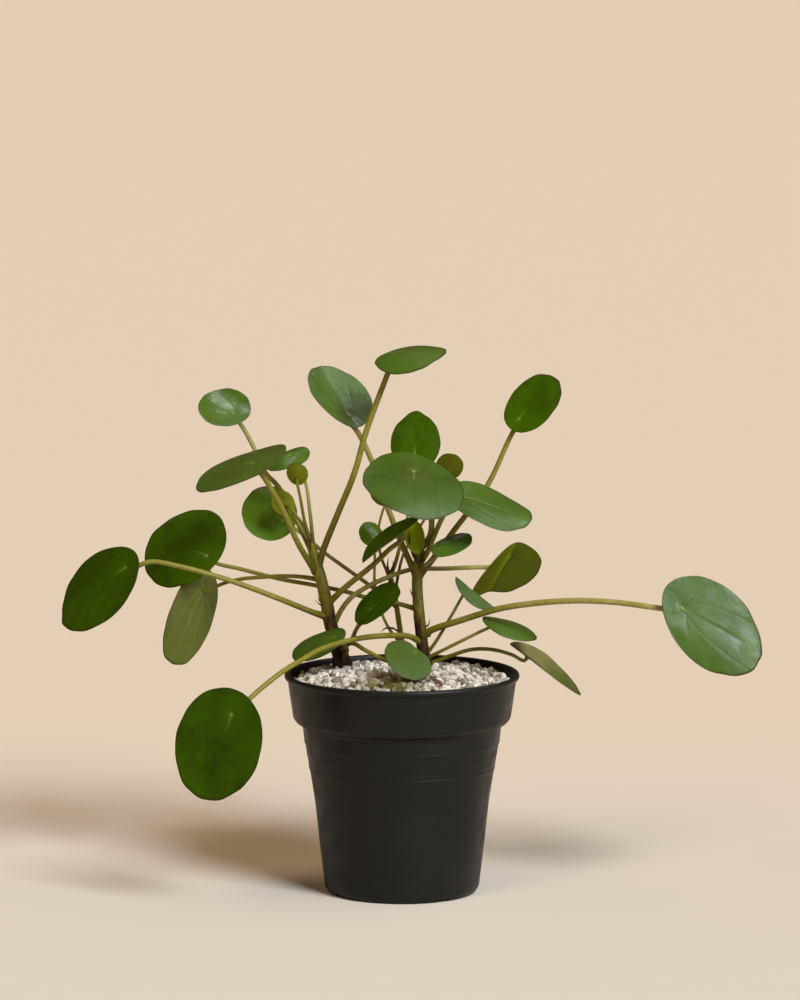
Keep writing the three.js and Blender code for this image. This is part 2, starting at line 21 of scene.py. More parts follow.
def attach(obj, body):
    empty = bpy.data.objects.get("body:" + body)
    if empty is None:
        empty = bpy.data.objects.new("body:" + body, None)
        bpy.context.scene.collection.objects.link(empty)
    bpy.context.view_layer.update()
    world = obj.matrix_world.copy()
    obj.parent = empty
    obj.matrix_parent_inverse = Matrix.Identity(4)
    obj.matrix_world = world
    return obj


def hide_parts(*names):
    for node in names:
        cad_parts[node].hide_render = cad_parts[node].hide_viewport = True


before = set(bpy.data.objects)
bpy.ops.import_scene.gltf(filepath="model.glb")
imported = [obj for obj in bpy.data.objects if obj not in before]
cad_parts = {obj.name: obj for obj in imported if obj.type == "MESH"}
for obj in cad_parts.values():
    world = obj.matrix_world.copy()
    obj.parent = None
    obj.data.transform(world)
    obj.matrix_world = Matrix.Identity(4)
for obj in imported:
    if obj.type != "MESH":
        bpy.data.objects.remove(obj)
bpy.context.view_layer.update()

MM = 0.001
Triple = tuple[float, float, float]
Material = bpy.types.Material
Shape = bmesh.types.BMesh
Socket = bpy.types.NodeSocket
log = logging.getLogger("pilea")


class Hue(Enum):
    """Named colours of the plant and its pot, as web colours in daylight."""

    DEEP_GREEN = "#2b3f02"
    LEAF_GREEN = "#3b5a02"
    FRESH_GREEN = "#48681a"
    SILKY_GREEN = "#3e5a16"
    BROWN_GREEN = "#4a5c18"
    GLOSSY_GREEN = "#50701c"
    PALE_OLIVE = "#7e763e"
    YOUNG_GREEN = "#56660a"
    OLIVE_GREEN = "#6c720c"
    UNDERSIDE = "#626a1e"
    YOUNG_UNDERSIDE = "#686e0a"
    HUB_DOT = "#9fb850"
    EDGE_LINE = "#2c2206"
    STALK_PALE = "#969250"
    STALK_GREEN = "#7e792a"
    STALK_OLIVE = "#706b1a"
    STALK_RED = "#74452a"
    STEM_GREEN = "#8a8410"
    STEM_BROWN = "#4f3008"
    BARK_DARK = "#22100a"
    SCALE_RED = "#5f3a26"
    CHIP_WHITE = "#e6e2db"
    CHIP_WARM = "#c8c0b3"
    CHIP_GREY = "#868076"
    CHIP_MOSSY = "#66602c"
    # Painted shade for the gaps between the pumice chips
    CHIP_SHADE = "#1d1711"
    FLAKE_BROWN = "#5a4034"
    PLASTIC_BLACK = "#171715"
    PLASTIC_DUST = "#282623"
    SOIL_BROWN = "#2b2018"
    SOIL_FLECK = "#57452f"
    FLOOR_NEAR = "#ded9d1"
    FLOOR_FAR = "#e2d6c6"
    SKY_BEIGE = "#e0b489"

    def linear(self) -> Vector:
        """The colour in linear light, as three numbers."""
        channels = [channel / 255 for channel in bytes.fromhex(self.value[1:])]
        return Vector([c / 12.92 if c <= 0.04045 else ((c + 0.055) / 1.055) ** 2.4 for c in channels])

    def rgba(self) -> tuple[float, float, float, float]:
        """The colour in linear light, as a shader socket takes it."""
        return (*self.linear(), 1.0)


class Stem(Enum):
    """The three upright stems, by the node that each stands for."""

    LEFT = "stem_left"
    RIGHT = "stem_right"
    BACK = "stem_back"


@dataclass(frozen=True)
class BladeFinish:
    """The finish of one kind of blade.

    upper and fresher are its two greens, middle its colour round the hub, and under the green of its
    underside. dot is how strong the pale dot over the stalk is, and painted_half_shade how much
    lighter one half is painted than the other, as painted light and shade on the sides of a fold.
    """

    name: str
    upper: Hue
    fresher: Hue
    middle: Hue
    roughness: float
    gloss: float
    vein_depth: float
    dot: float = 0.8
    painted_half_shade: float = 0.0
    under: Hue = Hue.UNDERSIDE
    slot: str = "leaf"


class BladeKind(Enum):
    """The kinds of blade on the plant."""

    DEEP = BladeFinish(
        "deep_blade", Hue.DEEP_GREEN, Hue.LEAF_GREEN, Hue.LEAF_GREEN,
        roughness=0.42, gloss=0.06, vein_depth=0.3, dot=0.55,
    )
    FRESH = BladeFinish(
        "fresh_blade", Hue.FRESH_GREEN, Hue.BROWN_GREEN, Hue.FRESH_GREEN,
        roughness=0.4, gloss=0.28, vein_depth=0.4, dot=0.6,
    )
    SILKY = BladeFinish(
        "silky_blade", Hue.SILKY_GREEN, Hue.FRESH_GREEN, Hue.BROWN_GREEN,
        roughness=0.3, gloss=0.42, vein_depth=0.35,
    )
    VEINED = BladeFinish(
        "veined_blade", Hue.SILKY_GREEN, Hue.FRESH_GREEN, Hue.SILKY_GREEN,
        roughness=0.28, gloss=0.42, vein_depth=0.25, dot=0.6,
    )
    GLOSSY = BladeFinish(
        "glossy_blade", Hue.GLOSSY_GREEN, Hue.LEAF_GREEN, Hue.GLOSSY_GREEN,
        roughness=0.24, gloss=0.6, vein_depth=0.12,
    )
    OLIVE = BladeFinish(
        "olive_blade", Hue.PALE_OLIVE, Hue.BROWN_GREEN, Hue.PALE_OLIVE,
        roughness=0.42, gloss=0.4, vein_depth=0.5,
    )
    YOUNG = BladeFinish(
        "young_blade", Hue.YOUNG_GREEN, Hue.OLIVE_GREEN, Hue.YOUNG_GREEN, roughness=0.4, gloss=0.05,
        vein_depth=0.4, dot=0.5, under=Hue.YOUNG_UNDERSIDE, slot="young_leaf",
    )
    # A young blade with one half painted lighter and the other darker, as painted light and shade on its
    # fold.
    FOLDED = replace(YOUNG, name="folded_blade", painted_half_shade=0.5)


@dataclass(frozen=True)
class Leaf:
    """One leaf, in millimetres.

    hub is where the stalk meets the blade, tip the way the blade's far end points, and face the way
    its upper side looks. share is the part of the length behind the hub. dome is how far the edge
    lies below the middle, fold how far the sides rise along the midrib, wave the height of the
    edge's ripples, lean how far the outline sits to one side, point how far its tip is drawn out,
    and notch the part of the length by which the edge behind the hub is drawn in. route leads the
    stalk from its stem to near the hub, and stalk is its radius at both ends. tone
    makes the blade paler or darker than its kind: partly the leaf's own colour, and partly painted
    light that makes leaves lying in shade paler and painted shade that darkens leaves under strong sheen.
    """

    name: str
    stem: Stem
    kind: BladeKind
    length: float
    width: float
    share: float
    hub: Triple
    tip: Triple
    face: Triple
    stalk: tuple[float, float]
    route: Sequence[Triple]
    dome: float = 0.0
    fold: float = 0.0
    wave: float = 0.0
    lean: float = 0.0
    point: float = 0.0
    notch: float = 0.0
    # Partly the leaf's own colour, partly painted light and shade on its blade.
    tone: float = 1.0


# Some leaves are painted paler or darker than their kind as painted light and shade: leaves lying in shade,
# such as 05, 21, 22 and 30, are painted paler, and sheen-lit 29 darker.
LEAVES = [
    Leaf("leaf_01_high_left", Stem.LEFT, BladeKind.GLOSSY, length=28, width=25, share=0.3,
        hub=(-86, 34, 241), tip=(-0.82, 0.47, 0.33), face=(-0.08, -0.67, 0.74), stalk=(1.4, 1.1),
        dome=-1.5, wave=0.4, tone=0.85, route=[(-44, 20, 166), (-49, 24, 177), (-62.5, 34, 202),
            (-70.2, 39, 210), (-75.2, 40, 221), (-82, 38, 234)]),
    Leaf("leaf_02_tilted_left", Stem.LEFT, BladeKind.FRESH, length=57, width=43, share=0.33,
        hub=(-75, -8, 221), tip=(-0.7, 0.68, -0.33), face=(-0.46, -0.17, 0.87), stalk=(1.6, 1.3),
        dome=2, wave=0.6, route=[(-44, 20, 161), (-52, 8, 176), (-61.3, -2, 198), (-69.6, -6, 213)]),
    Leaf("leaf_03_glossy_left", Stem.LEFT, BladeKind.GLOSSY, length=24, width=21, share=0.42,
        hub=(-57, 25, 220.5), tip=(-0.7, -0.35, -0.3), face=(-0.25, -0.32, 0.88), stalk=(1, 0.8),
        dome=2, wave=0.5, tone=1.15, route=[(-45, 20, 171), (-47, 23, 192), (-49.8, 27, 208)]),
    Leaf("leaf_04_young_left", Stem.LEFT, BladeKind.YOUNG, length=13, width=11, share=0.3,
        hub=(-53, 11.5, 210), tip=(-0.1, -0.35, 0.9), face=(0.1, 0.9, 0.4), stalk=(0.9, 0.7),
        dome=-1, fold=0.5, route=[(-45, 20, 173), (-49.2, 17, 186), (-51.3, 11, 198.5), (-52.5, 9, 205)]),
    Leaf("leaf_05_round_left", Stem.BACK, BladeKind.GLOSSY, length=30, width=27.5, share=0.24,
        hub=(-61.2, 36, 185), tip=(-0.82, 0.31, 0.45), face=(-0.22, -0.95, 0.25), stalk=(1.1, 0.9),
        dome=-1.5, wave=0.4, tone=1.6, route=[(-2.5, 46, 139), (-17, 49, 150), (-40, 48, 167),
            (-52, 43, 178)]),
    Leaf("leaf_06_pale_left", Stem.LEFT, BladeKind.YOUNG, length=14, width=12.5, share=0.32,
        hub=(-59, 24, 194), tip=(-0.6, 0.3, 0.7), face=(-0.25, 0.85, -0.3), stalk=(0.9, 0.7),
        dome=-1, fold=0.5, route=[(-46, 20, 175), (-50, 20, 185), (-54, 20, 190)]),
    Leaf("leaf_07_upper_middle", Stem.RIGHT, BladeKind.SILKY, length=40, width=36, share=0.22,
        hub=(-27.3, 35, 240.4), tip=(-0.48, 0.5, 0.7), face=(0.48, -0.54, 0.69), stalk=(1.6, 1.3),
        fold=3, wave=0.5, route=[(7.5, 30, 157), (-1, 32, 176), (-8, 36, 194), (-16, 39, 217),
            (-23, 39, 231)]),
    Leaf("leaf_08_top", Stem.LEFT, BladeKind.FRESH, length=38, width=32, share=0.24,
        hub=(-5, 8, 274.8), tip=(0.86, -0.45, 0.18), face=(-0.22, -0.25, 0.94), stalk=(1.7, 1.4),
        dome=5.8, wave=0.3, route=[(-43, 20, 162), (-40, 17, 173), (-32.2, 13, 193), (-24.2, 10, 213),
            (-18, 9, 235), (-8.4, 9.5, 261)]),
    Leaf("leaf_09_pointed_middle", Stem.BACK, BladeKind.DEEP, length=31, width=26, share=0.33,
        hub=(6.7, 51, 218.3), tip=(-0.03, 0.37, 0.93), face=(-0.2, -0.9, 0.38), stalk=(1, 0.8),
        dome=1, fold=1, wave=0.5, lean=0.4, point=0.12, route=[(-6.3, 46, 155), (-4, 46.5, 160),
            (-1, 49, 170), (4, 53, 189), (7, 56, 207)]),
    Leaf("leaf_10_broad_front", Stem.RIGHT, BladeKind.SILKY, length=56, width=52, share=0.31,
        hub=(6, -12, 217), tip=(0.03, -0.88, -0.46), face=(0.2, -0.44, 0.87), stalk=(1.6, 1.3),
        dome=2.5, wave=0.8, tone=0.85, route=[(9, 30, 171), (14, 26, 178), (15, 18, 189), (11, 4, 203)]),
    Leaf("leaf_11_young_right", Stem.BACK, BladeKind.YOUNG, length=16, width=14, share=0.35,
        hub=(24, 50, 209), tip=(0.2, -0.4, 0.88), face=(0.1, 0.9, 0.4), stalk=(0.8, 0.6),
        dome=-1, fold=0.5, tone=0.75, route=[(-3.6, 46, 145), (-2, 48, 155), (1, 51, 166), (10, 52, 181),
            (20, 48, 198)]),
    Leaf("leaf_12_young_middle", Stem.BACK, BladeKind.YOUNG, length=16, width=14, share=0.35,
        hub=(-8, 53, 195), tip=(-0.45, -0.3, 0.8), face=(-0.1, 0.9, 0.35), stalk=(0.8, 0.6),
        dome=-1, fold=0.5, route=[(-5.8, 46, 152), (-7.5, 45, 157), (-11, 46, 166), (-12, 48, 179),
            (-10, 49, 188)]),
    Leaf("leaf_13_broad_right", Stem.RIGHT, BladeKind.SILKY, length=46, width=36, share=0.2,
        hub=(31, 5, 202), tip=(0.93, -0.1, -0.38), face=(0.27, -0.43, 0.86), stalk=(1.4, 1.1),
        dome=2, wave=1.2, lean=-1.5, tone=1.05, route=[(9, 30, 164), (13, 28, 170), (16, 24, 178),
            (22, 15, 192), (28, 8, 199)]),
    Leaf("leaf_14_high_right", Stem.RIGHT, BladeKind.DEEP, length=35, width=30, share=0.2,
        hub=(60, 35, 238), tip=(0.67, 0.2, 0.7), face=(-0.47, -0.68, 0.56), stalk=(1.6, 1.2),
        dome=0.5, fold=0.5, wave=0.4, tone=1.15, route=[(8.5, 30, 157), (18, 30, 169), (26, 31, 180),
            (44, 35, 204), (57, 38, 231)]),
    Leaf("leaf_15_broad_left", Stem.RIGHT, BladeKind.DEEP, length=46, width=48, share=0.17,
        hub=(-100.4, 40, 166.6), tip=(-0.78, 0.55, 0.25), face=(-0.4, -0.66, 0.63), stalk=(1.2, 1),
        dome=1.5, wave=0.7, tone=1.1, route=[(8.6, 30, 140), (-5, 36, 143), (-18, 38, 145), (-29, 39, 148),
            (-45, 41, 151), (-63, 43, 154), (-83, 44, 159), (-95, 43, 162)]),
    Leaf("leaf_16_far_left", Stem.LEFT, BladeKind.DEEP, length=54, width=45, share=0.17,
        hub=(-140, -5, 167), tip=(-0.76, 0.28, -0.6), face=(-0.63, -0.57, 0.52), stalk=(1.5, 1.2),
        dome=0.5, fold=2, wave=0.8, lean=-2, tone=0.85, route=[(-39, 20, 138), (-46, 16, 141),
            (-62, 10, 148.5), (-87, 3, 159), (-112, -2, 167), (-128, -3, 169.6)]),
    Leaf("leaf_17_hanging_left", Stem.LEFT, BladeKind.FRESH, length=53, width=45, share=0.2,
        hub=(-103, 58, 146), tip=(-0.33, -0.4, -0.85), face=(-0.83, 0.52, 0.16), stalk=(1.1, 0.9),
        dome=1.5, wave=0.5, lean=-1.5, route=[(-42, 20, 157), (-52, 25, 157.8), (-62, 30, 157.4),
            (-73, 35, 156), (-83, 42, 154), (-94, 53, 149.4)]),
    Leaf("leaf_18_low_front", Stem.RIGHT, BladeKind.DEEP, length=57, width=48, share=0.22,
        hub=(-85, -60, 101), tip=(-0.31, 0.06, -0.95), face=(-0.42, -0.88, 0.12), stalk=(1.5, 1.2),
        dome=-1, wave=0.6, lean=1.2, point=0.04, tone=0.8, route=[(11, 31, 122), (4, 24, 127), (-5, 15, 129),
            (-15, 5, 130), (-25, -5, 130), (-41, -23, 128), (-51, -34, 124), (-61, -43, 119),
            (-75, -54, 109)]),
    Leaf("leaf_19_foot_left", Stem.LEFT, BladeKind.FRESH, length=31, width=24, share=0.18,
        hub=(-33.8, 2, 130.5), tip=(-0.8, 0.3, -0.5), face=(-0.45, -0.35, 0.82), stalk=(1.1, 0.9),
        dome=2, wave=0.3, tone=0.75, route=[(-31.5, 23, 115), (-28, 15, 121), (-29.5, 7, 125.5)]),
    Leaf("leaf_20_middle", Stem.LEFT, BladeKind.DEEP, length=29, width=25, share=0.35,
        hub=(-15.8, -4, 145.7), tip=(0.72, -0.3, 0.55), face=(-0.6, -0.42, 0.65), stalk=(1.2, 1),
        fold=1.5, wave=0.3, tone=0.78, route=[(-32, 22, 120), (-26, 11, 127), (-22, 3, 136)]),
    Leaf("leaf_21_small_middle", Stem.BACK, BladeKind.GLOSSY, length=14, width=12.5, share=0.35,
        hub=(-14.5, 33, 177), tip=(-0.5, 0.25, 0.8), face=(0.26, -0.85, 0.44), stalk=(0.8, 0.7),
        dome=1, tone=1.8, route=[(0.5, 46, 119), (-6, 44, 127), (-11, 42, 138), (-14, 39, 153),
            (-14, 37, 168)]),
    Leaf("leaf_22_slanted_middle", Stem.LEFT, BladeKind.DEEP, length=36, width=26, share=0.33,
        hub=(-1, 4, 183), tip=(-0.79, 0, -0.61), face=(-0.6, -0.12, 0.79), stalk=(1.6, 1.2),
        fold=4, wave=0.3, tone=1.6, route=[(-38.3, 20, 144), (-29, 13, 154), (-14, 8, 167), (-6, 6, 175)]),
    Leaf("leaf_23_small_right", Stem.RIGHT, BladeKind.SILKY, length=22, width=15, share=0.2,
        hub=(19, 6, 175), tip=(0.9, 0.1, 0.3), face=(-0.25, -0.55, 0.8), stalk=(1, 0.8),
        dome=1, wave=0.3, tone=1.3, route=[(8.2, 30, 160), (12.5, 21, 165), (16, 12, 169)]),
    Leaf("leaf_24_folded_right", Stem.LEFT, BladeKind.FOLDED, length=43, width=38, share=0.28,
        hub=(55.2, 50, 164.3), tip=(-0.36, -0.8, -0.5), face=(-0.42, -0.34, 0.84), stalk=(1.3, 1.1),
        fold=-7, wave=0.5, lean=0.2, point=-0.1, tone=0.9, route=[(-36, 21, 131), (-31, 22, 141),
            (-26, 25, 147), (-17, 32, 152), (-9, 37, 155), (4, 41, 159), (22, 52, 158), (40, 67, 156.5),
            (50, 64, 157)]),
    Leaf("leaf_25_slim_right", Stem.RIGHT, BladeKind.FRESH, length=26, width=14, share=0.33,
        hub=(34.2, 22, 152.8), tip=(0.77, -0.05, -0.64), face=(0.62, -0.12, 0.77), stalk=(0.9, 0.7),
        fold=-5, wave=0.2, tone=0.85, route=[(12, 31, 116), (17, 29, 123), (26, 24, 139)]),
    Leaf("leaf_26_low_right", Stem.RIGHT, BladeKind.SILKY, length=30, width=25, share=0.17,
        hub=(46, 16, 136), tip=(0.93, 0.2, -0.33), face=(0.34, -0.2, 0.91), stalk=(0.9, 0.8),
        dome=2, wave=0.3, route=[(12.4, 31, 114.5), (25, 24, 122), (40, 18, 130.5)]),
    Leaf("leaf_27_drooping_right", Stem.RIGHT, BladeKind.OLIVE, length=45, width=28, share=0.25,
        hub=(64.5, 28, 116), tip=(0.8, 0, -0.6), face=(0.6, -0.12, 0.79), stalk=(1.1, 0.9),
        fold=3.5, wave=0.5, route=[(13, 32, 111), (25, 30.5, 116), (36, 29, 119.5), (47, 28, 119.5),
            (57, 28, 116.6)]),
    Leaf("leaf_28_small_front", Stem.LEFT, BladeKind.FRESH, length=24, width=26, share=0.18,
        hub=(7, -17, 126), tip=(-0.55, -0.6, -0.55), face=(0.35, -0.62, 0.68), stalk=(1.2, 1),
        dome=0.5, wave=0.3, notch=0.1, tone=0.8, route=[(-32, 22, 119), (-26, 12, 125.5), (-18, 0, 123.5),
            (-7, -8, 119.5), (2, -13, 120)]),
    Leaf("leaf_29_far_right", Stem.RIGHT, BladeKind.VEINED, length=62.5, width=55, share=0.2,
        hub=(141.5, -20, 148.7), tip=(0.8, 0.26, -0.51), face=(0.54, -0.63, 0.56), stalk=(1.7, 1.4),
        dome=1.5, fold=1, wave=0.7, lean=0.3, tone=0.85, route=[(9.9, 30, 126), (15, 26, 130), (30, 20, 136),
            (50, 11, 143.5), (70, 3, 147.7), (90, -5, 150), (110, -12, 150), (128, -18, 148.4)]),
    Leaf("leaf_30_rolled_top", Stem.RIGHT, BladeKind.YOUNG, length=17, width=11, share=0.12,
        hub=(8.5, 22, 172), tip=(-0.3, -0.1, 0.94), face=(-0.35, -0.8, 0.2), stalk=(0.9, 0.8),
        fold=3, tone=2.0, route=[(9, 30, 163), (9, 26.5, 168)]),
]

# The upright stems as (x, y, z, radius), from the buried end to the growing tip
TRUNKS = {
    Stem.LEFT: [
        (-27, 27, 82, 2.6), (-29, 26, 96, 4), (-30, 24, 108, 4.8), (-31.5, 23, 117, 4.6), (-34, 22, 126, 3.5),
        (-36.5, 21, 134, 3.3), (-38.5, 20, 145, 3.2), (-41.5, 20, 158, 3), (-44.5, 20, 168, 2.9),
        (-47, 20, 178, 2),
    ],
    Stem.RIGHT: [
        (15, 35, 82, 2.4), (14, 34, 96, 3.6), (13, 32, 110, 3.7), (11, 31, 118, 3.2), (9.7, 30, 129, 3),
        (8.5, 30, 141, 2.9), (7.8, 30, 153, 2.8), (8.2, 30, 161, 2.8), (9, 30, 169, 2.6), (10, 30, 181, 1.6),
    ],
    Stem.BACK: [
        (4, 42, 84, 1.2), (3, 44, 98, 1.7), (1, 46, 114, 1.6), (-1, 46, 127, 1.5), (-3, 46, 141, 1.4),
        (-5, 46, 152, 1.3), (-7, 46, 159, 0.8),
    ],
}

# The height over which each stem turns from brown bark to green, from all brown to all green
BARK_ENDS = {Stem.LEFT: (126.0, 164.0), Stem.RIGHT: (122.0, 160.0), Stem.BACK: (96.0, 128.0)}

# The point of each stem's line that the chips keep clear of
AT_CHIPS = {Stem.LEFT: 2, Stem.RIGHT: 2, Stem.BACK: 1}


@dataclass(frozen=True)
class Scale:
    """A dry pointed scale at the foot of a leaf stalk, along a short curved way in millimetres."""

    stem: Stem
    way: Sequence[Triple]
    width: float


SCALES = [
    Scale(Stem.LEFT, [(-39.5, 18.5, 143.5), (-42.3, 16.5, 145), (-44.6, 15.6, 147.8)], 1.1),
    Scale(Stem.LEFT, [(-39.8, 18.5, 144.5), (-42, 17, 146.5), (-43.2, 16.4, 149.6)], 1.0),
    Scale(Stem.LEFT, [(-31, 19.6, 121), (-30, 17.6, 122.6), (-29.4, 16.6, 125)], 1.4),
    Scale(Stem.LEFT, [(-45.5, 18.6, 171), (-46.8, 17.4, 175), (-46.4, 17, 179)], 1.3),
    Scale(Stem.RIGHT, [(6.6, 27.5, 146), (5.2, 26.4, 148.4), (4, 26, 151.6)], 1.1),
    Scale(Stem.RIGHT, [(6.9, 27.4, 147), (6.6, 26, 149.8), (6, 25.6, 152.4)], 1.0),
    Scale(Stem.RIGHT, [(11.6, 28.6, 131), (13.6, 27.6, 132.6), (14.4, 27, 136)], 1.1),
    Scale(Stem.RIGHT, [(12.4, 28.8, 126.4), (14.4, 28, 126.6), (15, 27.6, 129.4)], 1.2),
    Scale(Stem.RIGHT, [(9.2, 27.6, 164), (6.4, 24.6, 168), (4.2, 23, 175), (3.6, 23, 182)], 2.2),
    Scale(Stem.RIGHT, [(10.4, 27.8, 165), (10.6, 24.6, 169.6), (9.4, 22.6, 176)], 2.0),
    Scale(Stem.RIGHT, [(9.6, 32.6, 172), (10.4, 33.6, 178), (9.8, 33.4, 184)], 1.8),
    Scale(Stem.BACK, [(-6.6, 45.6, 157), (-7.4, 45, 161), (-6.8, 45, 165.4)], 1.3),
    Scale(Stem.BACK, [(-6, 45.6, 156), (-4.8, 45, 159.6), (-4.6, 45, 163.4)], 1.1),
    Scale(Stem.BACK, [(-1.6, 45, 126), (-5, 43, 128.4), (-9, 42, 128.2), (-11, 42, 125.8)], 1.3),
    Scale(Stem.BACK, [(0.6, 44.6, 118), (-1.6, 43.2, 120.4), (-3.6, 42.8, 119.6)], 1.0),
]


class Nodes:
    """A material's nodes, added by short calls that give back the socket that comes out."""

    def __init__(self, name: str) -> None:
        """Starts a material with one Principled shader.

        Args:
            name: the material's name.
        """
        self.material = bpy.data.materials.new(name)
        self.material.use_nodes = True
        self.tree = self.material.node_tree

    def put(self, sockets: Mapping, values: Mapping) -> None:
        """Sets some of a node's inputs.

        Args:
            sockets: the inputs, by name or number.
            values: a value, a named colour or a socket for each one that is set.
        """
        for key, value in values.items():
            if isinstance(value, Socket):
                self.tree.links.new(value, sockets[key])
            else:
                sockets[key].default_value = value.rgba() if isinstance(value, Hue) else value

    def add(self, kind: str, inputs: Mapping, output: str | int = 0, **settings: object) -> Socket:
        """Adds a node.

        Args:
            kind: the node's type, without ShaderNode before it.
            inputs: a value, a named colour or a socket for each input, by its name or number.
            output: the name or number of the output that is wanted.
            settings: the node's own properties.

        Returns:
            The output's socket.
        """
        node = self.tree.nodes.new(f"ShaderNode{kind}")
        for key, value in settings.items():
            setattr(node, key, value)
        self.put(node.inputs, inputs)
        return node.outputs[output]

    def place(self) -> Socket:
        """The point's place in the frame."""
        return self.add("TexCoord", {}, "Object")

    def attribute(self, name: str, output: str = "Fac") -> Socket:
        """A value that the mesh carries: Fac for one number, Vector or Color for three."""
        return self.add("Attribute", {}, output, attribute_name=name)

    def maths(self, operation: str, *values: object) -> Socket:
        """One sum on numbers or sockets, by the Math node's name for it."""
        return self.add("Math", dict(enumerate(values)), operation=operation)

    def times(self, first: object, second: object) -> Socket:
        """The product of two numbers or sockets."""
        return self.maths("MULTIPLY", first, second)

    def larger(self, first: object, second: object) -> Socket:
        """The larger of two numbers or sockets."""
        return self.maths("MAXIMUM", first, second)

    def vector(self, operation: str, inputs: Mapping, output: str = "Vector") -> Socket:
        """One sum on vectors, by the Vector Math node's name for it."""
        return self.add("VectorMath", inputs, output, operation=operation)

    def spread(self, value: object, low: float, high: float, start: float = 0, end: float = 1) -> Socket:
        """A smooth step of a value, from start where it reads low to end where it reads high."""
        inputs = {0: value, 1: low, 2: high, 3: start, 4: end}
        return self.add("MapRange", inputs, interpolation_type="SMOOTHSTEP")

    def blend(self, share: object, first: object, second: object) -> Socket:
        """A mix of two colours, with the second one's share."""
        return self.add("Mix", {0: share, 6: first, 7: second}, 2, data_type="RGBA")

    def grain(self, place: Socket, scale: float, detail: float = 3, rough: float = 0.5) -> Socket:
        """A noise between 0 and 1, with its waves per metre, its octaves and how strong the finer are."""
        inputs = {"Vector": place, "Scale": scale, "Detail": detail, "Roughness": rough}
        return self.add("TexNoise", inputs, "Fac")

    def relief(
        self, height: Socket, distance: float, strength: float = 1, under: Socket | None = None
    ) -> Socket:
        """A bump of a height in metres, on the surface's own normal or on the one given."""
        inputs = {"Height": height, "Distance": distance, "Strength": strength}
        return self.add("Bump", inputs if under is None else inputs | {"Normal": under}, "Normal")

    def finish(self, **sockets: object) -> Material:
        """Sets the shader's inputs.

        Args:
            sockets: a value or a socket for each input, its name in small letters with _ for a space.

        Returns:
            The finished material.
        """
        inputs = self.tree.nodes["Principled BSDF"].inputs
        self.put({socket.name.lower().replace(" ", "_"): socket for socket in inputs}, sockets)
        return self.material


def mixed(first: Vector, second: Vector, share: float) -> Vector:
    """A mix of two colours or points, with the share kept between 0 and 1."""
    return first.lerp(second, min(1.0, max(0.0, share)))


def smooth_step(value: float, low: float, high: float) -> float:
    """0 up to low and 1 from high on, with a smooth rise between."""
    part = min(1.0, max(0.0, (value - low) / (high - low)))
    return part * part * (3 - 2 * part)


def bell(away: float, width: float) -> float:
    """1 at the middle, and smoothly less the further away, over about the width."""
    return math.exp(-((away / width) ** 2))


def between(values: Sequence[float], share: float) -> float:
    """The value at a share of the way through a list, straight from one to the next."""
    place = min(share * (len(values) - 1), len(values) - 1.001)
    return values[int(place)] + (values[int(place) + 1] - values[int(place)]) * (place - int(place))


def points_in(parts: Sequence[object]) -> list[bmesh.types.BMVert]:
    """The points among an operator's results."""
    return [part for part in parts if isinstance(part, bmesh.types.BMVert)]


def extruded(
    shape: Shape, edges: Sequence[bmesh.types.BMEdge]
) -> tuple[list[bmesh.types.BMVert], list[bmesh.types.BMEdge]]:
    """Grows one more ring on a shape's open edges, not yet moved.

    Args:
        shape: the shape.
        edges: its open edges.

    Returns:
        The ring's points and its open edges.
    """
    grown = bmesh.ops.extrude_edge_only(shape, edges=edges)["geom"]
    open_edges = [part for part in grown if isinstance(part, bmesh.types.BMEdge) and part.is_boundary]
    return points_in(grown), open_edges


def mesh_of(shape: Shape, name: str) -> bpy.types.Mesh:
    """Makes a mesh from a shape.

    Args:
        shape: the shape, which is used up.
        name: the mesh's name.

    Returns:
        The mesh.
    """
    mesh = bpy.data.meshes.new(name)
    shape.to_mesh(mesh)
    shape.free()
    return mesh


def add_object(name: str, data: bpy.types.ID) -> bpy.types.Object:
    """Adds an object to the scene.

    Args:
        name: its name.
        data: its mesh, light or camera.

    Returns:
        The object.
    """
    added = bpy.data.objects.new(name, data)
    bpy.context.scene.collection.objects.link(added)
    return added


def joined(shapes: Sequence[Shape]) -> Shape:
    """One shape in metres that holds several in millimetres.

    Args:
        shapes: the shapes, which are used up and have the same layers.

    Returns:
        The joined shape.
    """
    whole = bmesh.new()
    for shape in shapes:
        mesh = mesh_of(shape, "part")
        whole.from_mesh(mesh)
        bpy.data.meshes.remove(mesh)
    bmesh.ops.scale(whole, vec=Vector((MM, MM, MM)), verts=whole.verts)
    return whole


def hand_over(shape: Shape, name: str, slot: str, material: Material, node: str) -> None:
    """Makes the finished piece from a shape, and puts it in its node's place.

    Args:
        shape: the shape, which is used up.
        name: the piece's name.
        slot: the material slot's name; not used.
        material: the piece's finish.
        node: the node that it stands for.
    """
    piece = add_object(name, mesh_of(shape, name))
    piece.data.materials.append(material)
    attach(piece, "root")
    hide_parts(node)
    log.info("%s: %d faces in the place of %s", name, len(piece.data.polygons), node)


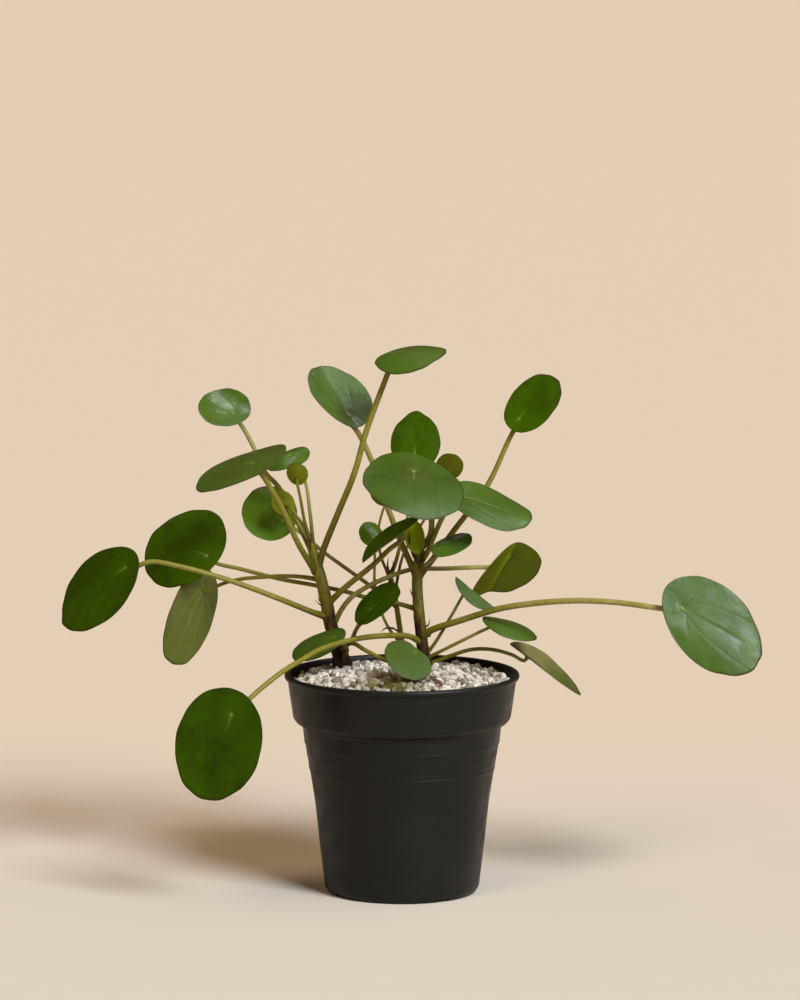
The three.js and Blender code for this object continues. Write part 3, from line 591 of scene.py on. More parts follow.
@dataclass
class Blade:
    """A leaf's blade: a thin shell with a rounded edge, a sunk hub, a midrib and side veins."""

    leaf: Leaf
    seed: int
    half_thickness: float = 0.32
    edge_thinning: float = 0.3
    round_edge: float = 0.035
    full_relief: float = 40.0
    hub_sink: float = 0.45
    hub_radius: float = 2.4
    midrib_sink: float = 0.12
    midrib_width: float = 0.8
    vein_sink: float = 0.06
    vein_width: float = 1.9
    flank_width: float = 1.1
    quilt: float = 0.2
    quilt_pitch: float = 9.0
    fine_length: float = 32.0
    fine_sides: int = 96
    plain_sides: int = 72
    rings: Sequence[float] = (
        0.03, 0.07, 0.12, 0.18, 0.25, 0.32, 0.39, 0.46, 0.53, 0.6, 0.67, 0.74, 0.8, 0.855, 0.9, 0.935,
        0.96, 0.978, 0.99, 0.997, 1.0,
    )

    def stand(self) -> Matrix:
        """The blade's own frame: across it, along it to the tip, and up out of its upper face.

        Returns:
            The way from that frame to the plant's.
        """
        up = Vector(self.leaf.face).normalized()
        tip = Vector(self.leaf.tip)
        along = (tip - up * tip.dot(up)).normalized()
        turned = Matrix((along.cross(up), along, up)).transposed().to_4x4()
        return Matrix.Translation(self.leaf.hub) @ turned

    def depth(self) -> float:
        """How deep the relief is: in full on a large blade, and shallower on a small one."""
        return min(1.0, self.leaf.length / self.full_relief)

    def lift(self, across: float, along: float) -> float:
        """How high the surface lies over its flat plane, before the hub is set to zero.

        Args:
            across: the place across the blade.
            along: the place along it.

        Returns:
            The height.
        """
        leaf = self.leaf
        side = across / (leaf.width / 2)
        end = (along - (0.5 - leaf.share) * leaf.length) / (leaf.length / 2)
        reach = min(1.0, math.hypot(side, end))
        ripple = leaf.wave * reach**3 * math.sin(3 * math.atan2(side, end) + leaf.length)
        return ripple - leaf.dome * (side**2 + 0.6 * end**2) + leaf.fold * math.sqrt(side**2 + 0.02)

    def spot(self, reach: float, turn: float) -> tuple[float, float]:
        """The place on the blade for a ring and a turn round the hub.

        Args:
            reach: 0 at the hub and 1 at the edge.
            turn: the angle from the tip.

        Returns:
            The distances across and along the blade.
        """
        leaf = self.leaf
        uneven = 1 + 0.006 * math.sin(7 * turn + self.seed) + 0.004 * math.sin(13 * turn + 2.3 * self.seed)
        across = leaf.lean + leaf.width / 2 * math.sin(turn)
        along = (0.5 - leaf.share) * leaf.length
        along += leaf.length / 2 * math.cos(turn) * (1 + leaf.point * bell(turn, 0.45))
        along += leaf.notch * leaf.length * bell(math.pi - abs(turn), 0.5)
        return reach * across * uneven, reach * along * uneven

    def rib(self, across: float, along: float) -> float:
        """How much of a midrib or side vein lies at a place.

        Args:
            across: the place across the blade.
            along: the place along it.

        Returns:
            0 where there is none, up to 1 on the midrib.
        """
        leaf = self.leaf
        side = abs(across) / (leaf.width / 2)
        end = along / leaf.length
        middle = bell(across, self.midrib_width) * smooth_step(end, -0.05, 0.05)
        middle *= 1 - smooth_step(end, 0.45, 0.75)
        bow = 0.78 * math.sqrt(abs(end)) * (1 - 0.2 * abs(end))
        bowed = bell((side - bow) * leaf.width, self.vein_width) * smooth_step(abs(end), 0.02, 0.1)
        flank = bell((end - 0.04 - 0.2 * side**2) * leaf.length, self.flank_width)
        flank *= smooth_step(side, 0.05, 0.2)
        return max(middle, self.vein_sink / self.midrib_sink * max(bowed, 0.8 * flank))

    def surface(self, across: float, along: float) -> float:
        """The height of the blade's middle layer, with the hub's sink and the quilting.

        Args:
            across: the place across the blade.
            along: the place along it.

        Returns:
            The height over the hub as it would be without its sink.
        """
        away = math.hypot(across, along)
        sink = self.hub_sink * self.depth() * bell(away, self.hub_radius)
        spot = Vector((across / self.quilt_pitch, along / self.quilt_pitch, self.seed * 3.7))
        swell = self.quilt * self.depth() * noise.noise(spot) * smooth_step(away, 0, self.leaf.length / 4)
        return self.lift(across, along) - self.lift(0, 0) - sink + swell

    def disc(self) -> Shape:
        """A flat disc of rings, with a radius of 1.

        Returns:
            The disc, one face thick.
        """
        sheet = bmesh.new()
        segments = self.fine_sides if self.leaf.length > self.fine_length else self.plain_sides
        bmesh.ops.create_circle(sheet, cap_ends=True, cap_tris=True, segments=segments, radius=self.rings[0])
        edges = [edge for edge in sheet.edges if edge.is_boundary]
        for inner, outer in pairwise(self.rings):
            ring, edges = extruded(sheet, edges)
            bmesh.ops.scale(sheet, vec=Vector((outer / inner, outer / inner, 1)), verts=ring)
        return sheet

    def shape(self) -> Shape:
        """The blade as a closed shell.

        Returns:
            The shape in metres, with each point's place on the blade kept in its layers.
        """
        leaf = self.leaf
        sheet = self.disc()
        layers = sheet.verts.layers
        place = layers.float_vector.new("blade")
        edge_share, depth, tone = [layers.float.new(name) for name in ("edge", "depth", "tone")]
        for vert in sheet.verts:
            reach = min(1.0, round(math.hypot(vert.co.x, vert.co.y), 4))
            across, along = self.spot(reach, math.atan2(vert.co.x, vert.co.y))
            vert.co = (across, along, self.surface(across, along))
            vert[place] = (across / (leaf.width / 2), along / leaf.length, 1.0)
            vert[edge_share] = reach
            # Each blade's brightness factor, partly painted light and shade, carried to the shader.
            vert[tone] = leaf.tone
            vert[depth] = self.midrib_sink * self.depth() * self.rib(across, along)
        upper = sheet.verts[:]
        lower = points_in(bmesh.ops.duplicate(sheet, geom=upper + sheet.edges[:] + sheet.faces[:])["geom"])
        for side, verts in ((1.0, upper), (-1.0, lower)):
            for vert in verts:
                reach = vert[edge_share]
                rounding = math.sqrt(1 - max(0.0, 1 - (1 - reach) / self.round_edge) ** 2)
                half = self.half_thickness * (1 - self.edge_thinning * reach) * rounding
                vert.co.z += side * half - vert[depth] * rounding * (1.2 - 0.2 * side)
                vert[place].z = 0.5 + 0.5 * side * min(1.0, rounding)
        bmesh.ops.remove_doubles(sheet, verts=sheet.verts, dist=0.001)
        layers.float.remove(depth)
        bmesh.ops.recalc_face_normals(sheet, faces=sheet.faces)
        bmesh.ops.transform(sheet, matrix=Matrix.Scale(MM, 4) @ self.stand(), verts=sheet.verts)
        for face in sheet.faces:
            face.smooth = True
        return sheet

    def build(self, materials: Mapping[BladeKind, Material]) -> None:
        """Makes the blade's piece in its node's place, with the finish of its kind."""
        name, kind = self.leaf.name, self.leaf.kind
        hand_over(self.shape(), name.replace("leaf", "blade"), kind.value.slot, materials[kind], name)


def blade_material(finish: BladeFinish) -> Material:
    """A waxy leaf: mottled greens, a pale hub, fine veins with painted groove shade, a brown edge and a paler
    underside.

    Args:
        finish: the kind of blade.

    Returns:
        The material.
    """
    nodes = Nodes(finish.name)
    place = nodes.place()
    blade = nodes.attribute("blade", "Vector")
    side, end, upper = nodes.add("SeparateXYZ", {0: blade}).node.outputs
    wander = nodes.times(nodes.maths("SUBTRACT", nodes.grain(place, 160, 2), 0.5), 0.07)
    across = nodes.maths("ABSOLUTE", nodes.maths("ADD", side, wander))
    reach = nodes.maths("ABSOLUTE", end)
    middle = nodes.times(nodes.spread(across, 0.035, 0.008), nodes.spread(end, 0.72, 0.3))
    middle = nodes.times(middle, nodes.spread(end, -0.02, 0.03))
    bow = nodes.times(nodes.maths("SQRT", reach), nodes.spread(reach, 0, 1, 0.78, 0.6))
    bowed = nodes.spread(nodes.maths("ABSOLUTE", nodes.maths("SUBTRACT", across, bow)), 0.04, 0.008)
    arch = nodes.maths("MULTIPLY_ADD", nodes.times(across, across), 0.2, 0.04)
    flank = nodes.spread(nodes.maths("ABSOLUTE", nodes.maths("SUBTRACT", end, arch)), 0.018, 0.004)
    veins = nodes.larger(middle, nodes.times(nodes.larger(bowed, flank), 0.6))
    flat = nodes.vector("MULTIPLY", {0: blade, 1: (1.0, 2.0, 0.0)})
    net = nodes.add("TexVoronoi", {"Vector": flat, "Scale": 6.5}, "Distance", feature="DISTANCE_TO_EDGE")
    veins = nodes.larger(veins, nodes.times(nodes.spread(net, 0.09, 0.0), 0.28))
    away = nodes.vector("LENGTH", {0: nodes.vector("MULTIPLY", {0: flat, 1: (0.5, 0.5, 0.0)})}, "Value")

    broad = nodes.spread(nodes.grain(place, 38, 2, 0.5), 0.38, 0.62)
    fine = nodes.spread(nodes.grain(place, 190, 4, 0.65), 0.3, 0.7)
    mottle = nodes.maths("ADD", nodes.times(broad, 0.6), nodes.times(fine, 0.4))
    green = nodes.blend(mottle, finish.upper, finish.fresher)
    heart = nodes.spread(nodes.maths("ADD", away, nodes.times(broad, 0.06)), 0.32, 0.08, 0, 0.75)
    green = nodes.blend(heart, green, finish.middle)
    # Veins darkened, more on deeply sunk veins: partly the veins' own darker green, partly painted shade in
    # their grooves.
    dark = nodes.blend(0.45, green, (0.0, 0.0, 0.0, 1.0))
    green = nodes.blend(nodes.times(veins, min(0.4, 0.6 * finish.vein_depth)), green, dark)
    pale = nodes.times(middle, nodes.spread(away, 0.2, 0.04, 0, 0.4 * finish.dot))
    for rim, core, strength in ((0.024, 0.009, 1.0), (0.08, 0.015, 0.1)):
        pale = nodes.larger(pale, nodes.spread(away, rim, core, 0, strength * finish.dot))
    green = nodes.blend(pale, green, Hue.HUB_DOT)
    # Painted light and shade: one half of the blade painted lighter and the other darker.
    if finish.painted_half_shade:
        half = nodes.spread(side, -0.08, 0.08, 1 - finish.painted_half_shade, 1 + finish.painted_half_shade)
        green = nodes.vector("SCALE", {0: green, 3: half})
    under = nodes.blend(nodes.times(mottle, 0.5), finish.under, finish.fresher)
    under = nodes.blend(nodes.times(veins, 0.4), under, Hue.STALK_PALE)
    colour = nodes.blend(nodes.spread(upper, 0.3, 0.6), under, green)
    # Brightness per leaf: partly its own colour, partly painted light on shaded leaves and painted shade on
    # sheen-lit ones.
    colour = nodes.vector("SCALE", {0: colour, 3: nodes.attribute("tone")})
    rim = nodes.maths("ADD", nodes.attribute("edge"), nodes.times(wander, 0.12))
    colour = nodes.blend(nodes.spread(rim, 0.96, 0.99, 0, 0.7), colour, Hue.EDGE_LINE)

    low, high = finish.roughness - 0.04, finish.roughness + 0.08
    gloss = nodes.spread(nodes.grain(place, 90, 3), 0.3, 0.7, low, high)
    rough = nodes.maths("ADD", gloss, nodes.spread(upper, 0.6, 0.3, 0, 0.15))
    skin = nodes.relief(nodes.grain(place, 1600, 2), 0.00004, 0.35)
    skin = nodes.relief(nodes.grain(place, 260, 3), 0.00012, 0.5, skin)
    lined = nodes.relief(nodes.maths("SUBTRACT", 1.0, veins), 0.00018 * finish.vein_depth, 0.8, skin)
    return nodes.finish(base_color=colour, roughness=rough, normal=lined, specular_ior_level=finish.gloss)


@dataclass
class Station:
    """One ring of a stalk: its middle in millimetres, its radius and how far along it lies."""

    middle: Vector
    radius: float
    share: float
    walked: float


Paint = Callable[[Vector, Station], tuple[Vector, Vector, float]]
Radius = Callable[[float, float, float], float]


def catmull_points(route: Sequence[Vector], spacing: float) -> list[Vector]:
    """Points along a smooth curve through a route, by the centripetal Catmull-Rom rule.

    Args:
        route: the points that it goes through.
        spacing: about how far apart the points lie.

    Returns:
        The curve's points.
    """
    held = [2 * route[0] - route[1], *route, 2 * route[-1] - route[-2]]
    points = [route[0]]
    for before, start, end, after in zip(held, held[1:], held[2:], held[3:]):
        first, middle, last = [math.sqrt((b - a).length) for a, b in pairwise((before, start, end, after))]
        leave = (start - before) / first - (end - before) / (first + middle) + (end - start) / middle
        arrive = (end - start) / middle - (after - start) / (middle + last) + (after - end) / last
        count = max(2, round((end - start).length / spacing)) + 1
        handles = start + leave * middle / 3, end - arrive * middle / 3
        points += interpolate_bezier(start, *handles, end, count)[1:]
    return points


def stations(points: Sequence[Vector], radius_at: Radius) -> list[Station]:
    """The rings of a stalk.

    Args:
        points: the stalk's middle line.
        radius_at: gives the radius from the share of the length, the way walked and the whole length.

    Returns:
        One station for each point.
    """
    walked = [0.0]
    for start, end in pairwise(points):
        walked.append(walked[-1] + (end - start).length)
    whole = walked[-1]
    return [
        Station(point, radius_at(way / whole, way, whole), way / whole, way)
        for point, way in zip(points, walked)
    ]


def sweep(rings: Sequence[Station], sides: int, paint: Paint, flat: float = 1.0) -> Shape:
    """A closed round stalk through its stations.

    Args:
        rings: the stations.
        sides: the corners of each ring.
        paint: gives each point's last place, its colour and how much bark it has.
        flat: how thick the section is for its width.

    Returns:
        The stalk, in millimetres, with its colour and bark in its layers.
    """
    shape = bmesh.new()
    aside = (rings[1].middle - rings[0].middle).normalized().orthogonal().normalized()
    stands = []
    for before, here, after in zip([rings[0], *rings], rings, [*rings[1:], rings[-1]]):
        way = (after.middle - before.middle).normalized()
        aside = (aside - way * aside.dot(way)).normalized()
        turned = Matrix((aside * here.radius, way.cross(aside) * here.radius * flat, way)).transposed()
        stands.append(Matrix.Translation(here.middle) @ turned.to_4x4())
    start = bmesh.ops.create_circle(shape, cap_ends=True, segments=sides, radius=1, matrix=stands[0])
    placed = [(start["verts"], rings[0])]
    edges = shape.edges[:]
    for (old, new), ring in zip(pairwise(stands), rings[1:]):
        verts, edges = extruded(shape, edges)
        bmesh.ops.transform(shape, matrix=new @ old.inverted(), verts=verts)
        placed.append((verts, ring))
    bmesh.ops.holes_fill(shape, edges=edges, sides=0)
    shape.verts.index_update()
    owner = {vert.index: ring for verts, ring in placed for vert in verts}
    tint = shape.verts.layers.float_vector.new("tint")
    bark = shape.verts.layers.float.new("bark")
    for vert in shape.verts:
        vert.co, vert[tint], vert[bark] = paint(vert.co.copy(), owner[vert.index])
    bmesh.ops.recalc_face_normals(shape, faces=shape.faces)
    for face in shape.faces:
        face.smooth = len(face.verts) < 5
    return shape


@dataclass
class Plant:
    """A stem with its stalks and scales."""

    stem: Stem
    trunk_sides: int = 40
    stalk_sides: int = 16
    scale_sides: int = 10
    neck: float = 3.0
    stalk_end: float = 0.5
    crag_low: float = 104.0
    crag_high: float = 121.0

    def trunk(self) -> Shape:
        """The upright stem: lumpy brown bark at the foot, smooth and green towards the tip.

        Returns:
            The stem's shape.
        """
        waypoints = TRUNKS[self.stem]
        points = catmull_points([Vector(point[:3]) for point in waypoints], 0.9)
        seed = list(Stem).index(self.stem) * 19.0

        def radius_at(share: float, walked: float, whole: float) -> float:
            """The radius between the waypoints, pulled in at the growing tip."""
            radius = between([point[3] for point in waypoints], share)
            return radius * (0.35 + 0.65 * smooth_step(whole - walked, -1.0, 4.0))

        def paint(spot: Vector, ring: Station) -> tuple[Vector, Vector, float]:
            """Bark that swells into lumps and ridges, and goes from dark brown to green.

            Args:
                spot: a point of the smooth stem.
                ring: its station.

            Returns:
                The point's last place, its colour and how much bark it has.
            """
            age = 1 - smooth_step(spot.z, *BARK_ENDS[self.stem])
            crag = 1 - smooth_step(spot.z, self.crag_low, self.crag_high)
            lumps = noise.fractal(spot / 3.2 + Vector((seed, 0, 0)), 0.9, 2.2, 4)
            ridge = 0.5 + 0.5 * math.sin(spot.z * 0.9 + 2.2 * noise.noise(spot / 9))
            chunk = noise.fractal(spot / 1.5 + Vector((0, seed, 0)), 0.8, 2.1, 3)
            swell = age * (0.05 * lumps + 0.035 * ridge) + crag * (0.34 * lumps + 0.16 * chunk)
            swell += 0.012 * lumps
            patch = noise.fractal(Vector((spot.x / 3, spot.y / 3, spot.z / 9 + seed)), 0.8, 2.1, 4)
            fresh = mixed(Hue.STEM_GREEN.linear(), Hue.STALK_GREEN.linear(), 0.5 + patch)
            old = mixed(Hue.STEM_BROWN.linear(), Hue.BARK_DARK.linear(), 0.35 + 1.3 * patch + 0.9 * crag)
            tint = mixed(fresh, old, age * 1.1 + 0.5 * patch * age)
            return spot + (spot - ring.middle) * swell, tint, min(1.0, 0.15 + age)

        return sweep(stations(points, radius_at), self.trunk_sides, paint)

    def stalk(self, leaf: Leaf) -> Shape:
        """A leaf stalk, wider where it leaves the stem and where it meets the blade.

        Args:
            leaf: the leaf that it carries.

        Returns:
            The stalk's shape.
        """
        stand = Blade(leaf, 0).stand()
        ends = [stand @ Vector((0, 0, -below)) for below in (self.neck, self.stalk_end)]
        points = catmull_points([Vector(point) for point in leaf.route] + ends, 2.0)
        thick, thin = leaf.stalk
        young = leaf.kind is BladeKind.YOUNG and leaf.length < 20
        dark = leaf.kind in (BladeKind.DEEP, BladeKind.FRESH)
        base = (Hue.STALK_RED if young else Hue.STALK_OLIVE).linear()
        end = (Hue.STALK_OLIVE if young else Hue.STALK_GREEN if dark else Hue.STALK_PALE).linear()

        def radius_at(share: float, walked: float, whole: float) -> float:
            """The radius along the stalk, with a flare at both ends."""
            flare = 0.45 * math.exp(-walked / 3.5) + 0.35 * math.exp(-(whole - walked) / 1.6)
            return (thick + (thin - thick) * share) * (1 + flare)

        def paint(spot: Vector, ring: Station) -> tuple[Vector, Vector, float]:
            """Green that pales towards the blade, and is brown where it leaves the stem.

            Args:
                spot: a point of the stalk.
                ring: its station.

            Returns:
                The point's place, its colour and how much bark it has.
            """
            patch = noise.noise(Vector((ring.walked / 14, leaf.length * 1.7, 0)))
            tint = mixed(base, Hue.STALK_GREEN.linear(), 3 * ring.share + patch)
            tint = mixed(tint, end, 1.5 * ring.share - 0.3 + patch)
            foot = math.exp(-ring.walked / 4)
            return spot, mixed(tint, Hue.STEM_BROWN.linear(), 0.55 * foot), 0.3 * foot

        return sweep(stations(points, radius_at), self.stalk_sides, paint)

    def scale(self, scale: Scale) -> Shape:
        """A dry scale: a flat sweep that runs out in a point.

        Args:
            scale: its way and width.

        Returns:
            The scale's shape.
        """
        points = catmull_points([Vector(point) for point in scale.way], 0.5)

        def radius_at(share: float, walked: float, whole: float) -> float:
            """Widest a third of the way up, and thin at the tip."""
            return scale.width / 2 * (0.08 + 0.92 * math.sin(math.pi * (0.25 + 0.75 * share) ** 0.9))

        def paint(spot: Vector, ring: Station) -> tuple[Vector, Vector, float]:
            """Reddish brown that darkens to the tip."""
            return spot, mixed(Hue.SCALE_RED.linear(), Hue.BARK_DARK.linear(), ring.share), 0.6

        return sweep(stations(points, radius_at), self.scale_sides, paint, flat=0.35)

    def build(self, material: Material) -> None:
        """Makes the stem's piece in its node's place.

        Args:
            material: the finish of bark and stalks.
        """
        stalks = [self.stalk(leaf) for leaf in LEAVES if leaf.stem is self.stem]
        scales = [self.scale(scale) for scale in SCALES if scale.stem is self.stem]
        name = f"{self.stem.name.lower()}_stem_and_stalks"
        hand_over(joined([self.trunk(), *stalks, *scales]), name, "stem", material, self.stem.value)


def stem_material() -> Material:
    """Green stalks and brown bark, coloured along their length by the mesh.

    Returns:
        The material.
    """
    nodes = Nodes("stem_skin")
    place = nodes.place()
    bark = nodes.attribute("bark")
    fleck = nodes.spread(nodes.grain(place, 420, 4, 0.65), 0.35, 0.7, -0.12, 0.16)
    tint = nodes.vector("SCALE", {0: nodes.attribute("tint", "Color"), 3: nodes.maths("ADD", fleck, 1.0)})
    scar = nodes.spread(nodes.grain(place, 700, 3, 0.7), 0.52, 0.66)
    colour = nodes.blend(nodes.times(nodes.times(scar, bark), 0.55), tint, Hue.BARK_DARK)
    rough = nodes.maths("MULTIPLY_ADD", bark, 0.32, 0.42)
    skin = nodes.relief(nodes.grain(place, 900, 3, 0.6), 0.00005, 0.5)
    crust = nodes.relief(nodes.times(nodes.grain(place, 650, 4, 0.7), bark), 0.0007, 0.9, skin)
    return nodes.finish(base_color=colour, roughness=rough, normal=crust, specular_ior_level=0.22)


@dataclass
class Dressing:
    """The pumice that tops the pot: rough chips in two layers, heaped on a bed painted near-black as the
    shade in the gaps between them.

    damp_spots says where the chips are mossy: x, y, how wide and deep a spot is and how green.
    flake_place is where the dead leaf lies on the chips, and flake_size its half axes.
    """

    seed: int = 41
    bed_bottom: float = 101.4
    bed_top: float = 105.8
    radius: float = 56.0
    mound: float = 3.6
    top_layer: float = 2.6
    layer_drop: float = 2.2
    pitch: float = 3.3
    row_step: float = 0.866
    sway: float = 0.3
    smallest: float = 2.2
    largest: float = 4.0
    bevel: float = 0.24
    gaps: float = 0.36
    templates: int = 16
    stem_gap: float = 0.6
    damp_spots: Sequence[tuple[float, ...]] = ((-6, -33, 13, 12, 1.6), (45, 25, 9, 13, 0.6))
    flake_place: tuple[float, float] = (17.0, -32.0)
    flake_size: Triple = (2.0, 4.2, 0.5)
    flake_lift: float = 2.6
    flake_turn: float = 0.9
    flake_lean: float = 0.5

    def chip(self, draw: random.Random) -> Shape:
        """One rough chip of about unit size.

        Args:
            draw: the random draw.

        Returns:
            The chip's shape, with a layer for its colour.
        """
        shape = bmesh.new()
        bmesh.ops.create_cube(shape, size=1)
        bmesh.ops.bevel(
            shape, geom=shape.edges[:], offset=self.bevel, segments=1, affect="EDGES", profile=0.5,
            material=-1,
        )
        for vert in shape.verts:
            vert.co *= draw.uniform(0.75, 1.2)
        stretch = Vector((draw.uniform(0.85, 1.25), draw.uniform(0.8, 1.05), draw.uniform(0.7, 0.95)))
        bmesh.ops.scale(shape, vec=stretch, verts=shape.verts)
        bmesh.ops.recalc_face_normals(shape, faces=shape.faces)
        shape.verts.layers.float_vector.new("tint")
        return shape

    def placed(self, chip: Shape, stand: Matrix, colour: Vector) -> Shape:
        """A copy of a chip.

        Args:
            chip: the chip.
            stand: where it goes, in millimetres.
            colour: its colour in linear light.

        Returns:
            The copy in its place.
        """
        copy = chip.copy()
        tint = copy.verts.layers.float_vector["tint"]
        bmesh.ops.transform(copy, matrix=stand, verts=copy.verts)
        for vert in copy.verts:
            vert[tint] = colour
        return copy

    def heap(self, x: float, y: float) -> float:
        """The height of the chips' top layer at a place, over its mound and bumps."""
        swell = self.mound * (1 - (math.hypot(x, y) / self.radius) ** 2)
        return self.bed_top + self.top_layer + swell + 0.9 * noise.noise(Vector((x / 14, y / 14, 5)))

    def chip_tint(self, x: float, y: float, draw: random.Random) -> Vector:
        """A chip's colour: white to warm grey, and mossy in the damp spots.

        Args:
            x: the chip's place.
            y: the chip's place.
            draw: the random draw.

        Returns:
            The colour in linear light.
        """
        white, warm, grey = Hue.CHIP_WHITE.linear(), Hue.CHIP_WARM.linear(), Hue.CHIP_GREY.linear()
        share = draw.random()
        if share < 0.62:
            tint = mixed(white, warm, draw.random() ** 1.5)
        elif share < 0.88:
            tint = mixed(warm, grey, draw.random())
        else:
            tint = grey
        green = [bell(x - left, wide) * bell(y - back, deep) * most
                 for left, back, wide, deep, most in self.damp_spots]
        return mixed(tint, Hue.CHIP_MOSSY.linear(), max(green) * draw.uniform(0.6, 1.4))

    def clear_of_stems(self, x: float, y: float) -> bool:
        """Whether a chip there would lie outside the stems."""
        feet = [TRUNKS[stem][number] for stem, number in AT_CHIPS.items()]
        return all(math.hypot(x - foot[0], y - foot[1]) >= foot[3] + self.stem_gap for foot in feet)

    def bed(self) -> Shape:
        """The bed under the chips, raised to a low cone in the middle, painted near-black as the shade in the
        gaps between them.

        Returns:
            The bed's shape.
        """
        shape = bmesh.new()
        tint = shape.verts.layers.float_vector.new("tint")
        deep = self.bed_top - self.bed_bottom
        middle = Matrix.Translation((0, 0, self.bed_bottom + deep / 2))
        low, high = self.radius - 1.1, self.radius - 0.6
        bmesh.ops.create_cone(
            shape, cap_ends=True, segments=96, radius1=low, radius2=high, depth=deep, matrix=middle
        )
        top = max(shape.faces, key=lambda face: face.calc_center_median().z)
        for vert in bmesh.ops.poke(shape, faces=[top])["verts"]:
            vert.co.z += self.mound
        # Painted shade: the bed is coloured near-black so that the gaps between the chips read as shaded.
        for vert in shape.verts:
            vert[tint] = Hue.CHIP_SHADE.linear()
        return shape

    def flake(self) -> Shape:
        """A flake of dead leaf on the chips, in front of the right stem.

        Returns:
            The flake's shape.
        """
        x, y = self.flake_place
        shape = bmesh.new()
        tint = shape.verts.layers.float_vector.new("tint")
        stand = Matrix.Translation((x, y, self.heap(x, y) + self.flake_lift))
        stand = stand @ Matrix.Rotation(self.flake_turn, 4, "Z") @ Matrix.Rotation(self.flake_lean, 4, "X")
        stand = stand @ Matrix.Diagonal((*self.flake_size, 1.0))
        bmesh.ops.create_icosphere(shape, subdivisions=3, radius=1, matrix=stand)
        noise.seed_set(self.seed)
        for vert in shape.verts:
            vert.co += 0.35 * noise.noise_vector(vert.co / 2)
            vert[tint] = Hue.FLAKE_BROWN.linear()
        return shape

    def build(self, material: Material) -> None:
        """Makes the pumice's piece in its node's place.

        Args:
            material: the stone's finish.
        """
        draw = random.Random(self.seed)
        chips = [self.chip(draw) for _ in range(self.templates)]
        heap = [self.bed(), self.flake()]
        rows = math.ceil(self.radius / (self.pitch * self.row_step))
        span = range(-rows, rows + 1)
        for layer, row, column in product((0, 1), span, span):
            x = (column + (row % 2 + layer) / 2 + draw.uniform(-self.sway, self.sway)) * self.pitch
            y = (row * self.row_step + draw.uniform(-self.sway, self.sway)) * self.pitch
            size = self.smallest + (self.largest - self.smallest) * draw.random() ** 1.6
            if math.hypot(x, y) > self.radius - size * 0.45 or not self.clear_of_stems(x, y):
                continue
            if layer and draw.random() < self.gaps:
                continue
            height = self.heap(x, y) - (0 if layer else self.layer_drop) + draw.uniform(-0.6, 0.6)
            axis = Vector([draw.uniform(-1, 1) for _ in range(3)])
            turned = Matrix.Rotation(draw.uniform(0, math.tau), 4, axis)
            stand = Matrix.Translation((x, y, height)) @ turned @ Matrix.Scale(size, 4)
            heap.append(self.placed(draw.choice(chips), stand, self.chip_tint(x, y, draw)))
        for chip in chips:
            chip.free()
        hand_over(joined(heap), "pumice_chips", "pumice", material, "pumice")


def pumice_material() -> Material:
    """Matte stone with pores and specks, coloured chip by chip by the mesh.

    Returns:
        The material.
    """
    nodes = Nodes("pumice_stone")
    place = nodes.place()
    speck = nodes.spread(nodes.grain(place, 1300, 4, 0.7), 0.32, 0.62, 0.78, 1.06)
    colour = nodes.vector("SCALE", {0: nodes.attribute("tint", "Color"), 3: speck})
    pores = nodes.add("TexVoronoi", {"Vector": place, "Scale": 1500.0}, "Distance")
    coarse = nodes.relief(nodes.grain(place, 700, 4, 0.7), 0.00025, 0.8)
    pitted = nodes.relief(pores, 0.00015, 0.5, coarse)
    return nodes.finish(base_color=colour, roughness=0.92, normal=pitted, specular_ior_level=0.25)


